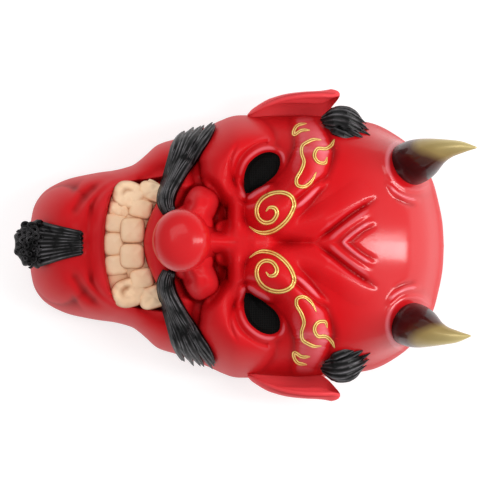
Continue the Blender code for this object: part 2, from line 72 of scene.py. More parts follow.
world = bpy.data.worlds.new("white_room")
world.use_nodes = True
world.node_tree.nodes["Background"].inputs["Color"].default_value = (1.0, 1.0, 1.0, 1.0)
world.node_tree.nodes["Background"].inputs["Strength"].default_value = ROOM_STRENGTH
bpy.context.scene.world = world


def soft_box(name, place, target, size, watts):
    """An area light at a place, turned so that it shines at the target."""
    data = bpy.data.lights.new(name, "AREA")
    data.shape = "RECTANGLE"
    data.size, data.size_y = size
    data.energy = watts
    light = bpy.data.objects.new(name, data)
    away = np.array(target, float) - np.array(place, float)
    light.location = place
    light.rotation_euler = (math.acos(-away[2] / np.linalg.norm(away)), 0.0,
                            math.atan2(away[1], away[0]) - math.pi / 2)
    bpy.context.scene.collection.objects.link(light)


soft_box("crown_strip", (0.95, -0.01, 0.70), (0.09, 0.0, 0.07), (0.20, 1.30), 10.0)
soft_box("top_box", (-0.25, 0.55, 1.5), (0.0, 0.0, 0.05), (1.1, 0.8), 6.0)

floor_mesh = bpy.data.meshes.new("floor")
floor_corners = [(x * FLOOR_REACH, y * FLOOR_REACH, -FLOOR_DROP)
                 for x, y in ((-1, -1), (1, -1), (1, 1), (-1, 1))]
floor_mesh.from_pydata(floor_corners, [], [(0, 1, 2, 3)])
floor = bpy.data.objects.new("floor", floor_mesh)
bpy.context.scene.collection.objects.link(floor)
floor_paint = bpy.data.materials.new("floor")
floor_paint.use_nodes = True
floor_sockets = floor_paint.node_tree.nodes["Principled BSDF"].inputs
floor_sockets["Base Color"].default_value = (FLOOR_GREY, FLOOR_GREY, FLOOR_GREY, 1.0)
floor_sockets["Roughness"].default_value = 0.9
floor_sockets["Emission Color"].default_value = (1.0, 1.0, 1.0, 1.0)
floor_sockets["Emission Strength"].default_value = FLOOR_GLOW
floor_mesh.materials.append(floor_paint)

# ---------------------------------------------------------------------------
# Face shell. One hollow resin casting, about 3.4 mm thick, with the brows, cheeks, lips and jaw
# modelled in it, two eye openings and a pocket for the teeth. Airbrushed red under clear gloss.
# ---------------------------------------------------------------------------
MM = 0.001
CENTRE_X = -3.0
# Half of the rim's outline, from the crown to the chin: (x, half width).
OUTLINE = [
    (126.5, 0), (125.6, 15), (123, 28.5), (119.5, 41), (113, 54), (104, 64.5), (94.3, 71.8), (84.2, 77.2),
    (74, 79.8), (60, 81.8), (45, 83.2), (20, 83.6), (3, 83.6), (-7, 83.2), (-15, 80.5), (-23, 76.8),
    (-32, 73), (-42.3, 69), (-52.4, 66), (-57.5, 63.4), (-62.5, 58.8), (-67.6, 54.4), (-72.7, 51.2),
    (-82.8, 48.4), (-92.9, 47), (-103, 45.2), (-113.1, 42.8), (-123.3, 38.2), (-129.8, 33), (-134.6, 25),
    (-136.8, 13), (-137.4, 0),
]
MOUTH = [
    (-86.5, 0), (-85.6, 15), (-83, 28), (-77.5, 36.5), (-67, 39), (-56, 40.5), (-47, 41),
    (-48.5, 36), (-53.5, 27), (-59, 16), (-62, 7), (-63, 0),
]
EYE = [
    (1.0, 31.0), (-0.6, 40.0), (2.4, 48.6), (9.0, 54.4), (15.8, 56.2),
    (20.8, 53.8), (21.6, 48.2), (19.0, 42.4), (13.4, 37.4), (6.8, 33.2),
]
SHELL_WALL = 3.4
POCKET_FLOOR = 60.0
# How far the mouth's floor bows down to the sides, at 40 mm from the middle.
POCKET_BOW = 10
# Middle and radius of the collar round each horn.
COLLAR = (104, 50)
COLLAR_RADIUS = 15.4
# Powers that bring the face down to the rim: the second is added under the horns.
RIM_POWER = 5
HORN_FULLNESS = 5.0
# Typical reach and height of the face, used to space the rows evenly.
PROFILE_REACH = 110
PROFILE_HEIGHT = 60
# Grids: places round, rows out.
OUTER_GRID = (540, 142)
INNER_GRID = (180, 44)
FOLD_PASSES = 14
LINING_PASSES = 24
LINING_EASE = 0.12
# The lining turns upright from this share of the way out, over this much more of it.
UPRIGHT_FROM = 0.84
UPRIGHT_OVER = 0.08
# The eye openings are this much wider in the lining, and their edge there this much lower.
EYE_BACK_GROW = 1.2
EYE_BACK_DROP = 1.0


def smooth_line(points, steps):
    """Catmull-Rom curve through the points, with this many steps to each span."""
    given = np.array(points, float)
    padded = np.vstack([2 * given[0] - given[1], given, 2 * given[-1] - given[-2]])
    t = np.linspace(0, 1, steps, endpoint=False)[:, None]
    spans = [0.5 * (2 * b + (c - a) * t + (2 * a - 5 * b + 4 * c - d) * t**2 + (3 * b - a - 3 * c + d) * t**3)
             for a, b, c, d in zip(padded, padded[1:], padded[2:], padded[3:])]
    return np.vstack([*spans, given[-1:]])


def closed_line(points, steps, mirror):
    """A closed curve: the points mirrored over the middle line, or the points' own smooth loop."""
    if mirror:
        right = smooth_line(points, steps)
        return np.vstack([right, right[-2:0:-1] * (1, -1)])
    looped = smooth_line([*points[-2:], *points, *points[:3]], steps)
    return looped[2 * steps:(2 + len(points)) * steps]


rim_line = closed_line(OUTLINE, 12, True)
mouth_line = closed_line(MOUTH, 5, True)
eye_line = closed_line(EYE, 8, False)
rim_angle = np.arctan2(rim_line[:, 1], rim_line[:, 0] - CENTRE_X)
rim_reach = np.hypot(rim_line[:, 1], rim_line[:, 0] - CENTRE_X)
rim_order = np.argsort(rim_angle)


def reach_at(angle):
    """Distance from the middle to the rim, read from the outline by its angle."""
    return np.interp(angle, rim_angle[rim_order], rim_reach[rim_order], period=2 * math.pi)


def line_distance(x, y, points):
    """Distance in plan to a line of straight runs, and how far along it the nearest place is, 0 to 1."""
    line = np.asarray(points, float)
    runs = np.diff(line, axis=0)
    lengths = np.hypot(runs[:, 0], runs[:, 1])
    start = np.concatenate([[0], np.cumsum(lengths)])
    best = np.full(np.shape(x), np.inf)
    place = np.zeros(np.shape(x))
    for a, run, length, begun in zip(line, runs, lengths, start):
        along = np.clip(((x - a[0]) * run[0] + (y - a[1]) * run[1]) / (length * length), 0, 1)
        away = np.hypot(x - a[0] - along * run[0], y - a[1] - along * run[1])
        closer = away < best
        best = np.where(closer, away, best)
        place = np.where(closer, (begun + along * length) / start[-1], place)
    return best, place


def outline_distance(x, y, line):
    """Distance to a closed outline, negative inside it: the side is found by counting crossings."""
    away, _ = line_distance(x, y, np.vstack([line, line[:1]]))
    crossings = np.zeros(np.shape(x), int)
    for a, b in zip(line, np.roll(line, -1, axis=0)):
        if a[1] != b[1]:
            spans = (a[1] > y) != (b[1] > y)
            crossings += spans & (x < a[0] + (y - a[1]) * (b[0] - a[0]) / (b[1] - a[1]))
    return np.where(crossings % 2 == 1, -away, away)


def smooth_max(a, b, blend):
    """The larger of two heights, rounded over where they are within about the blend of each other."""
    return 0.5 * (a + b + np.sqrt((a - b) ** 2 + blend**2))


def dome(x, y, centre, radii, foot, rise, turn=0.0, square=2.0):
    """Half an ellipsoid on a foot; outside its edge it keeps falling, so it drops out of the maximum.
    A square power over 2 gives it straighter sides."""
    dx, dy = x - centre[0], y - centre[1]
    c, s = math.cos(math.radians(turn)), math.sin(math.radians(turn))
    u, v = np.abs(dx * c + dy * s) / radii[0], np.abs(dy * c - dx * s) / radii[1]
    q = (u**square + v**square) ** (1 / square)
    return foot + rise * np.sqrt(np.clip(1 - q * q, 0, 1)) - 70 * np.clip(q - 1, 0, None)


def ridge(x, y, points, radius, foot, rise):
    """A rounded roll along a curve: radius, foot and rise may each run from one end to the other."""
    away, place = line_distance(x, y, smooth_line(points, 6))
    r, f, h = (np.interp(place, np.linspace(0, 1, len(v)), v) if np.ndim(v) else v
               for v in (radius, foot, rise))
    q = away / r
    return f + h * np.sqrt(np.clip(1 - q * q, 0, 1)) - 70 * np.clip(q - 1, 0, None)


def crease(x, y, points, width, depth):
    """A soft-edged groove (or, with a negative depth, a welt) along a curve, fading out at both ends."""
    away, place = line_distance(x, y, smooth_line(points, 5))
    fade = np.clip(4.5 * place, 0, 1) * np.clip(4.5 * (1 - place), 0, 1)
    return -depth * fade * np.exp(-((away / width) ** 2))


def bowed(y, drop):
    """How far a row has bowed down at y: the drop at 40 mm from the middle, growing with the square."""
    return drop * (y / 40) ** 2


# Height of the middle line along the face: (x, height).
MIDDLE = [
    (-150, 44), (-131, 48), (-100, 57), (-60, 63), (-20, 72), (30, 83), (80, 83), (123, 74), (150, 66),
]
# Rolls and domes in the order they are laid on: shape, its sizes, and the blend into what is below.
ROLLS = [
    # Forehead folds run from between the brows towards the crown.
    (ridge, ([(24, 9), (44, 13), (70, 30)], [9, 9, 8], [74, 72, 68], [13, 14, 11]), 5),
    # Cheeks.
    (dome, ((-3, 57), (27, 26), 54, 35), 3),
    (ridge, ([(-14, 50), (-15, 38), (-9, 28)], [15, 11, 7], [60, 66, 70], [26, 19, 12]), 4),
    # Brows: a round inner end, then a roll that thins outwards.
    (dome, ((17, 20), (19, 17), 72, 26, 20), 4),
    (ridge, ([(22, 21), (35, 38), (42, 56), (38, 76)],
             [16, 14.5, 14, 11], [66, 64, 60, 52], [31, 32, 34, 28]), 3),
    # Bridge, root and wings of the nose, and the roll across between the eyes.
    (ridge, ([(-8, 0), (6, 0), (20, 0)], [15, 13, 11], [76, 76, 74], [12, 13, 10]), 5),
    (ridge, ([(-36, 0), (-22, 0), (-12, 0), (-2, 0)], [11, 8, 6.5, 6], [84, 80, 78, 76], [27, 25, 17, 8]), 3),
    (dome, ((-28.6, 20.0), (10.8, 15.0), 70, 33, -24, 3.0), 2.5),
    (dome, ((-33.0, 10.0), (14.0, 14.0), 76, 30), 4),
    (ridge, ([(-6, 36), (-4.6, 26), (-5.0, 15), (-5, 0)],
             [5, 6, 6, 6], [72, 74, 76, 77], [10, 13, 13, 10]), 3.5),
    # Upper lip and the fold from the nose to the corner of the mouth.
    (ridge, ([(-50, 0), (-48, 18), (-41, 34)], [13.5, 12, 9], [62, 62, 56], [26, 24, 18]), 1.5),
    (ridge, ([(-38, 36), (-40, 46), (-50, 51)], [8, 7, 6], [58, 54, 48], [17, 15, 11]), 2),
    # Lower lip, chin and the sides of the jaw.
    (ridge, ([(-98, -8), (-97, 10), (-92, 27), (-82, 39)], 15, 58, [11, 11, 11, 9]), 5),
    (ridge, ([(-91.5, -8), (-91, 8), (-88, 24), (-82.5, 36), (-70, 44.5), (-56, 49)],
             [7, 7, 7, 6.5, 6, 5], [61, 61, 60, 58, 55, 52], [13, 13, 13, 12, 11, 8]), 2.5),
    (dome, ((-115, 6), (23, 31), 50, 33), 12),
    (ridge, ([(-106, 32), (-94, 42), (-78, 49), (-60, 56), (-38, 60)],
             [12, 10, 9, 11, 14], [46, 47, 46, 46, 46], [14, 17, 18, 24, 26]), 6),
]
# The crease between the brows, then the others: line, width, depth (a welt where it is negative).
BROW_CREASE = ([(14, 0), (24, 0), (36, 0), (47, 0)], 2.2, 2.6)
CREASES = [
    # Forehead.
    ([(42, 0), (53, 8), (66, 18), (82, 28)], 1.8, 3.6),
    ([(48, -3), (59, 7), (70, 15), (78, 20)], 2.2, -1.2),
    ([(57, -5), (61, 1), (68, 7), (79, 14)], 1.4, -2.6),
    ([(61, -6), (66, 1), (73, 7), (81, 11)], 1.5, 1.4),
    # Over the brows.
    ([(27, 22), (36, 30), (50, 42)], 1.6, 3.0),
    ([(29, 19), (39, 27), (52, 39)], 1.5, -2.6),
    # Beside the horns.
    ([(87, 38), (92.5, 32), (99.5, 28.4), (110, 26.6)], 1.7, -2.6),
    ([(91, 29), (98, 25.4), (107, 23.6)], 1.5, 1.4),
    # Round the nostril wings, and the nostrils.
    ([(-29, 42), (-21.5, 37), (-16, 30), (-12.2, 21), (-12.4, 12), (-15, 7), (-20, 5)], 2.8, 6.0),
    ([(-38, 15), (-36.5, 21), (-33, 26)], 2.2, 5.0),
    ([(-30, 14), (-26, 20), (-23.5, 27)], 2.4, 1.4),
    # Under the lower lip, under the eye, and on the chin.
    ([(-108, 14), (-104.5, 23), (-98, 31), (-88, 39)], 4.0, 5.0),
    ([(-4, 62), (-9, 50), (-7, 38), (-2, 30)], 1.2, 1.6),
    ([(-101, 14), (-98, 24), (-91, 33), (-80, 40)], 2.4, -1.6),
    ([(-97, 14), (-94.5, 24), (-87, 33.5), (-76, 41)], 1.8, 1.6),
]


def skin_height(x, y):
    """Height of the face: rolls and domes joined by a smooth maximum, less creases, sockets and the
    mouth pocket, all brought down to the rim by a superellipse of the distance out to the outline."""
    x = np.asarray(x, float)
    a = np.abs(np.asarray(y, float))
    share = np.clip(np.hypot(x - CENTRE_X, a) / reach_at(np.arctan2(a, x - CENTRE_X)), 0, 1)
    middle = smooth_line(MIDDLE, 12)
    h = np.interp(x, middle[:, 0], middle[:, 1]) - 12 * (a / 70) ** 2
    for shape, sizes, blend in ROLLS:
        h = smooth_max(h, shape(x, a, *sizes), blend)
    # Eye sockets with raised lids.
    eye = outline_distance(x, a, eye_line)
    h = h - 8.5 * np.exp(-(((x - 9) / 17) ** 2 + ((a - 44) / 18) ** 2) ** 2)
    h = h + 2.6 * np.exp(-(((eye - 2.2) / 2.0) ** 2)) - 1.6 * np.exp(-(((eye - 6.2) / 1.5) ** 2)) * (x < 14)
    # The brow crease sits in a dimple.
    h = h + crease(x, a, *BROW_CREASE) - 5 * np.exp(-((x - 25) / 7) ** 2 - (a / 4) ** 2)
    for line, width, depth in CREASES:
        h = h + crease(x, a, line, width, depth)
    # Horn collars.
    collar = np.hypot((x - COLLAR[0]) / 0.96, a - COLLAR[1]) - COLLAR_RADIUS
    h = h + 2.0 * np.exp(-((collar - 1.5) / 2.4) ** 2)
    # Mouth pocket.
    mouth = outline_distance(x, a, mouth_line)
    into = np.clip(0.5 - mouth / 2.4, 0, 1)
    h = h + (POCKET_FLOOR - bowed(a, POCKET_BOW) - h) * into * into * (3 - 2 * into)
    # The shell stays full out to the rim under the horns.
    fuller = HORN_FULLNESS * np.exp(-((x - 104) / 24) ** 2 - ((a - 56) / 17) ** 2)
    return h * (1 - share ** (RIM_POWER + fuller)) ** (1 / 2.2)


def spaced_shares(count):
    """Shares of the way out to the rim, spaced evenly along the shell's own profile."""
    turn = np.linspace(0, math.pi / 2, 2000)
    out, up = np.sin(turn) ** 0.8, np.cos(turn) ** 0.9
    travel = np.cumsum(np.hypot(np.diff(out, prepend=0) * PROFILE_REACH,
                                 np.diff(up, prepend=1) * PROFILE_HEIGHT))
    shares = np.interp(np.linspace(0, travel[-1], count + 1)[1:], travel, out)
    shares[-1] = 1.0
    return shares


def polar_grid(angles, rows):
    """Plan places (x, y) on rows out from the middle, and the quads and middle fan over them."""
    turn = np.arange(angles) * 2 * math.pi / angles
    reach, share = reach_at(turn), spaced_shares(rows)[:, None]
    x, y = CENTRE_X + share * reach * np.cos(turn), share * reach * np.sin(turn)
    k = np.arange(angles)
    low = 1 + np.arange(rows - 1)[:, None] * angles
    after = (k + 1) % angles
    quads = np.stack([low + k, low + angles + k, low + angles + after, low + after], axis=-1).reshape(-1, 4)
    fan = np.stack([np.zeros(angles, int), 1 + k, 1 + after], axis=-1)
    return x, y, quads, fan


def make_piece(name, points, faces, finish, smooth=True):
    """An object from points in millimetres and lists of faces, shaded smooth."""
    mesh = bpy.data.meshes.new(name)
    corners = (np.asarray(points, float) * MM).tolist()
    mesh.from_pydata(corners, [], [face for group in faces for face in np.asarray(group).tolist()])
    if smooth:
        mesh.shade_smooth()
    if finish:
        mesh.materials.append(finish)
    piece = bpy.data.objects.new(name, mesh)
    bpy.context.scene.collection.objects.link(piece)
    return piece


def cut_eyes(points, faces, grow, height):
    """Takes out the faces inside both eye outlines and draws the ones across them on to the outline."""
    inside = outline_distance(points[:, 0], np.abs(points[:, 1]), eye_line) < grow
    kept = [group[~inside[group].all(axis=1)] for group in faces]
    used = np.zeros(len(points), bool)
    for group in kept:
        used[group.reshape(-1)] = True
    moved = np.flatnonzero(inside & used)
    middle = eye_line.mean(axis=0)
    away = eye_line - middle
    edge = middle + away * (1 + grow / np.linalg.norm(away, axis=1))[:, None]
    dense = np.vstack([edge, edge[:1]])
    steps = np.linspace(0, len(edge), 1200, endpoint=False)
    dense = np.stack([np.interp(steps, np.arange(len(dense)), dense[:, c]) for c in (0, 1)], axis=-1)
    for sign in (1, -1):
        mine = moved[points[moved, 1] * sign > 0]
        spots = points[mine, :2] * (1, sign)
        nearest = np.argmin(((spots[:, None] - dense[None]) ** 2).sum(axis=2), axis=1)
        points[mine, :2] = dense[nearest] * (1, sign)
        points[mine, 2] = height(dense[nearest, 0], dense[nearest, 1])
    return points, kept


def neighbours(z):
    """Heights over a polar grid moved one step round each way, one row out and one row in."""
    padded = np.vstack([z[:1], z, z[-1:]])
    return np.roll(z, 1, axis=1), np.roll(z, -1, axis=1), padded[:-2], padded[2:]


def local_mean(z):
    """Each height halfway to the mean of its four neighbours' two pairs, a few times over."""
    for _ in range(FOLD_PASSES):
        before, after, inward, outward = neighbours(z)
        z = 0.5 * ((before + after) / 2) + 0.25 * (inward + outward)
    return z


def face_shell(finish):
    """Outer and inner skins on polar grids, joined at the rim and round each eye opening."""
    x, y, quads, fan = polar_grid(*OUTER_GRID)
    z = skin_height(x, y)
    z[-1] = 0.0
    fold = local_mean(z) - z
    middle = [CENTRE_X, 0.0, float(skin_height(CENTRE_X, 0.0))]
    outer = np.vstack([middle, np.stack([x, y, z], -1).reshape(-1, 3)])
    fold = np.concatenate([[0.0], fold.reshape(-1)])
    outer, outer_faces = cut_eyes(outer, [quads, fan], 0.0, skin_height)

    x, y, quads, fan = polar_grid(*INNER_GRID)
    z = skin_height(x, y)
    z[-1] = 0.0
    low = z.copy()
    for _ in range(2):
        before, after, inward, outward = neighbours(low)
        low = np.minimum.reduce([low, before, after, inward, np.maximum(outward, 0.72 * low)])
    low = low - SHELL_WALL
    for _ in range(LINING_PASSES):
        before, after, inward, outward = neighbours(low)
        low = np.minimum(low, 0.25 * (before + after + inward + outward) + LINING_EASE)
    low = np.clip(low, 0.35 * z, None)
    # Near the rim the wall's thickness lies across it, so the lining keeps the outside's height there.
    upright = np.clip((spaced_shares(INNER_GRID[1])[:, None] - UPRIGHT_FROM) / UPRIGHT_OVER, 0, 1)
    low = low * (1 - upright) + (z - SHELL_WALL * (1 - upright)) * upright
    low[-1] = 0.0
    shrink = 1 - SHELL_WALL / np.hypot(x[-1] - CENTRE_X, y[-1])
    x, y = CENTRE_X + (x - CENTRE_X) * shrink, y * shrink
    inner = np.vstack([[CENTRE_X, 0.0, low[0].min()], np.stack([x, y, low], -1).reshape(-1, 3)])

    def lining(px, py):
        """Height of the inner skin's eye edge: the wall's thickness under the lids."""
        return skin_height(px, py) - SHELL_WALL - EYE_BACK_DROP

    inner, inner_faces = cut_eyes(inner, [quads, fan], EYE_BACK_GROW, lining)
    count = len(outer)
    faces = [*outer_faces, *[group[:, ::-1] + count for group in inner_faces]]
    shell = make_piece("shell", np.vstack([outer, inner]), faces, finish)
    work = bmesh.new()
    work.from_mesh(shell.data)
    bmesh.ops.delete(work, geom=[v for v in work.verts if not v.link_faces], context="VERTS")
    border = [e for e in work.edges if e.is_boundary]
    flat = [e for e in border if max(v.co.z for v in e.verts) < 1e-6]
    bmesh.ops.bridge_loops(work, edges=flat)
    for sign in (1, -1):
        ring = [e for e in work.edges if e.is_boundary and e.verts[0].co.y * sign > 0]
        bmesh.ops.bridge_loops(work, edges=ring)
    bmesh.ops.recalc_face_normals(work, faces=work.faces)
    work.to_mesh(shell.data)
    work.free()
    shell.data.shade_smooth()
    shell.data.set_sharp_from_angle(angle=math.radians(60))
    # The depth of each fold is kept on the points, for the painted shade in the folds and the painted sheen
    # and highlight on the crests.
    spots = np.empty(len(shell.data.vertices) * 3, np.float32)
    shell.data.vertices.foreach_get("co", spots)
    spots = spots.reshape(-1, 3) / MM
    key = {tuple(np.round(p, 2)): f for p, f in zip(outer, fold)}
    paint = np.array([key.get(tuple(np.round(p.astype(float), 2)), 0.0) for p in spots])
    shell.data.attributes.new("fold", "FLOAT", "POINT").data.foreach_set("value", paint)
    return shell


class Value:
    """An output socket in a finish's nodes; + - * / and ** on it add Math nodes."""

    def __init__(self, finish, socket):
        self.finish, self.socket = finish, socket

    def maths(self, operation, first, second):
        return self.finish.node("Math", {"operation": operation}, {0: first, 1: second})

    def __add__(self, other):
        return self.maths("ADD", self, other)

    def __sub__(self, other):
        return self.maths("SUBTRACT", self, other)

    def __rsub__(self, other):
        return self.maths("SUBTRACT", other, self)

    def __mul__(self, other):
        return self.maths("MULTIPLY", self, other)

    def __pow__(self, other):
        return self.maths("POWER", self, other)

    __radd__, __rmul__ = __add__, __mul__

    def held(self):
        """The value kept between 0 and 1."""
        return self.finish.node("Clamp", {}, {"Value": self})


class Finish:
    """A paint or surface: a Principled shader and the nodes that vary it."""

    def __init__(self, name, **constants):
        self.material = bpy.data.materials.new(name)
        self.material.use_nodes = True
        self.tree = self.material.node_tree
        self.shader = self.tree.nodes["Principled BSDF"]
        self.set(**constants)

    def set(self, **inputs):
        for key, value in inputs.items():
            self.feed(self.shader.inputs[key.replace("_", " ").title().replace("Ior", "IOR")], value)

    def feed(self, socket, value):
        if isinstance(value, Value):
            self.tree.links.new(value.socket, socket)
        elif socket.type == "RGBA" and len(value) == 3:
            socket.default_value = (*value, 1.0)
        else:
            socket.default_value = value

    def node(self, kind, settings, inputs, output=0):
        """Any node: its settings first (a ramp's as stops), then the values or links of its sockets."""
        made = self.tree.nodes.new("ShaderNode" + kind)
        for key, value in settings.items():
            if key == "stops":
                ramp = made.color_ramp
                while len(ramp.elements) < len(value):
                    ramp.elements.new(0.5)
                for element, (place, colour) in zip(ramp.elements, value):
                    element.position = place
                    element.color = (*colour, 1.0)
            else:
                setattr(made, key, value)
        for key, value in inputs.items():
            self.feed(made.inputs[key], value)
        return Value(self, made.outputs[output])

    def mix(self, factor, first, second):
        return self.node("Mix", {"data_type": "RGBA"}, {0: factor, 6: first, 7: second}, 2)

    def place(self):
        return self.node("TexCoord", {}, {}, "Object")

    def noise(self, scale, detail=3.0):
        return self.node("TexNoise", {}, {"Vector": self.place(), "Scale": scale, "Detail": detail})

    def attribute(self, name):
        return self.node("Attribute", {"attribute_name": name}, {}, "Fac")

    def bump(self, height, strength, distance):
        self.set(normal=self.node("Bump", {}, {"Height": height, "Strength": strength, "Distance": distance}))


RED = (0.580, 0.0040, 0.0075)
# Deeper red for painted shade in the folds; paler red for mottling and for painted sheen on the high places;
# pale pink for a painted highlight on the crests.
FOLD_SHADE_RED = (0.280, 0.0010, 0.0022)
PALE_RED = (0.640, 0.034, 0.042)
CREST_HIGHLIGHT_RED = (0.860, 0.260, 0.310)
# The painted highlight on the crests starts from this far up.
CREST_HIGHLIGHT_FROM = -0.012
EAR_RED = (0.800, 0.060, 0.070)
# The forehead is rubbed to a higher gloss than the rest, from this far up and above this height.
POLISH_FROM = 0.058
POLISH_ABOVE = 0.030


def red_lacquer(name, folds, base=RED, gloss=0.03):
    """Airbrushed red, unevenly mottled, with painted shade deeper in the folds, a painted sheen a touch paler
    on the high places, a pale painted highlight on the crests, and a slightly uneven gloss.
    """
    red = Finish(name, coat_roughness=0.17, specular_ior_level=0.07)
    cloud = red.noise(22.0, 3.0)
    speck = red.noise(900.0, 2.0)
    across = red.node("SeparateXYZ", {}, {"Vector": red.place()}, "X")
    colour = red.mix((cloud * 2.2 - 0.75).held() * 0.25, base, PALE_RED)
    if folds:
        fold = red.attribute("fold")
        # Painted shade: deeper red in the folds.
        colour = red.mix((fold * 0.50 - 0.05).held(), colour, FOLD_SHADE_RED)
        # Painted sheen: a touch paler on the high places.
        colour = red.mix((fold * -0.45).held() * 0.32, colour, PALE_RED)
        # Painted highlight: pale pink on the sharpest crests, towards the crown from this far up.
        crest = (fold * -1.2 - 0.55).held() * ((across - CREST_HIGHLIGHT_FROM) * 60).held()
        colour = red.mix(crest * 0.55, colour, CREST_HIGHLIGHT_RED)
    height = red.node("SeparateXYZ", {}, {"Vector": red.place()}, "Z")
    polished = ((across - POLISH_FROM) * 40).held() * ((height - POLISH_ABOVE) * 60).held()
    red.set(base_color=colour, roughness=cloud * 0.12 + 0.36, coat_weight=polished * 0.85 + gloss)
    red.bump(speck * 0.35 + red.noise(160.0, 2.0), 0.06, 0.0006)
    return red.material


shell_red = red_lacquer("shell_red_lacquer", True)
shell = face_shell(shell_red)
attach(shell, "mask")
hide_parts("face_shell")

# ---------------------------------------------------------------------------
# Nose. A round bulb cast apart from the shell and glued over the end of the bridge, in the same red.
# ---------------------------------------------------------------------------
BULB = (-38.0, 0.0, 117.6)
BULB_RADII = (17.4, 18.9, 19.8)
BULB_SQUARE = 2.7
NECK_RADIUS = 15.6


def lofted(rings):
    """Rings of points (stations, round, xyz) joined side to side, each end closed by a fan to its middle."""
    stations, around = rings.shape[:2]
    k = np.arange(around)
    after = (k + 1) % around
    low = np.arange(stations - 1)[:, None] * around
    quads = np.stack([low + k, low + after, low + around + after, low + around + k], axis=-1).reshape(-1, 4)
    first = np.stack([np.full(around, stations * around), after, k], axis=-1)
    last_row = (stations - 1) * around
    last = np.stack([np.full(around, stations * around + 1), last_row + k, last_row + after], axis=-1)
    points = np.vstack([rings.reshape(-1, 3), rings[0].mean(axis=0), rings[-1].mean(axis=0)])
    return points, [quads, first, last]


def joined(parts):
    """Several closed surfaces as one list of points and one of faces."""
    points, faces, start = [], [], 0
    for part_points, part_faces in parts:
        points.append(part_points)
        faces.extend(group + start for group in part_faces)
        start += len(part_points)
    return np.vstack(points), faces


def mirrored(part):
    """The same surface on the other side of the middle line, its faces turned over to stay outward."""
    points, faces = part
    return points * (1, -1, 1), [group[:, ::-1] for group in faces]


def face_outward(piece):
    """Makes every face of a closed piece point away from its inside."""
    work = bmesh.new()
    work.from_mesh(piece.data)
    bmesh.ops.recalc_face_normals(work, faces=work.faces)
    work.to_mesh(piece.data)
    work.free()


def glued(piece, node):
    """Turns a closed piece's faces outward and fixes it to the mask in place of a node."""
    face_outward(piece)
    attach(piece, "mask")
    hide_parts(node)


def whole_turn(count):
    """Evenly spaced angles once round."""
    return np.linspace(0, 2 * math.pi, count, endpoint=False)


def nose_bulb():
    """Rings of a superellipsoid, flattened a little on top, whose lower half never gets narrower than
    the neck; the neck leans towards the bridge and flares where it meets the wings."""
    lift = np.linspace(-1.10, math.pi / 2 - 0.03, 60)
    ball = np.cos(lift) ** (2 / BULB_SQUARE) * (lift > 0) + np.cos(lift) * (lift <= 0)
    neck = NECK_RADIUS / BULB_RADII[0] * (lift < 0.2)
    wide = smooth_max(ball, neck, 0.06 * (lift < 0.2) + 1e-6)
    turn = whole_turn(72)
    climb = np.sin(lift) * (lift <= 0) + np.abs(np.sin(lift)) ** (2 / BULB_SQUARE) * (lift > 0)
    z = BULB[2] + BULB_RADII[2] * climb
    lean = np.clip((BULB[2] - z) / 20, 0, 2)
    x = BULB[0] + 2.0 * lean[:, None] + BULB_RADII[0] * wide[:, None] * np.cos(turn)
    y = BULB_RADII[1] * wide[:, None] * np.sin(turn)
    rings = np.stack([x, y, z[:, None] + 0 * x], axis=-1)
    foot = rings[0].mean(axis=0)
    base = (rings[:1] - foot) * (1.12, 1.10, 1) + foot + (2.0, 0, -16)
    return lofted(np.concatenate([base, rings]))


nose_red = red_lacquer("nose_red_lacquer", False, gloss=0.40)
nose = make_piece("nose", *nose_bulb(), nose_red)
glued(nose, "nose_bulb")

# ---------------------------------------------------------------------------
# Ears. Thin leaf-shaped castings with a hollow bowl and a rolled rim, one on each side, glued to the
# shell's edge with the point towards the crown. Red like the face.
# ---------------------------------------------------------------------------
# Stations along an ear: x, root (y, z), outer edge (y, z).
EAR = [
    (1.5, 81.5, 26, 82.5, 27), (6, 80.6, 25, 85.3, 33), (14, 80.2, 22, 90.0, 38), (24, 80.0, 18, 93.6, 42),
    (36, 80.0, 17, 95.4, 45), (46, 81.0, 19, 95.8, 45), (52, 84.4, 23, 95.7, 43.5),
    (56.5, 89.5, 30, 95.2, 41.5), (59.4, 93.4, 37, 94.4, 39),
]


def ear_leaf():
    """Across: root to edge with a sunk bowl, a fold inside it and a rolled rim; along: the stations."""
    line = smooth_line(EAR, 8)
    across = np.linspace(0, 1, 30)[None]
    root, edge = line[:, None, 1:3], line[:, None, 3:5]
    place = root + (edge - root) * across[..., None]
    run = np.hypot(*(edge - root)[:, 0].T)[:, None]
    normal = np.stack([-(edge - root)[..., 1], (edge - root)[..., 0]], axis=-1)
    normal = normal / np.maximum(run[..., None], 0.1)
    size = np.clip(run / 20, 0, 1)
    bowl = (-5.6 * np.sin(np.pi * across**0.8) ** 1.5 + 3.0 * np.exp(-((across - 0.93) / 0.06) ** 2)
            + 3.0 * np.exp(-((across - 0.56 - 0.10 * np.sin(line[:, :1] / 11)) / 0.07) ** 2)
            - 1.4 * np.exp(-((across - 0.74) / 0.08) ** 2)) * size
    thick = 2.6 * np.sqrt(np.clip(1 - (2 * across - 1) ** 8, 0, 1)) * np.clip(run / 6, 0.15, 1)
    upper = place + normal * (bowl + thick / 2)[..., None]
    lower = place + normal * (bowl - thick / 2)[..., None]
    loop = np.concatenate([upper, lower[:, -2:0:-1]], axis=1)
    x = np.broadcast_to(line[:, :1], loop.shape[:2])
    return lofted(np.concatenate([x[..., None], loop], axis=-1))


ear_red = red_lacquer("ear_red_lacquer", False, EAR_RED, 0.10)
for side, leaf in (("right", ear_leaf()), ("left", mirrored(ear_leaf()))):
    ear = make_piece("ear_leaf_" + side, *leaf, ear_red)
    glued(ear, "ear_" + side)

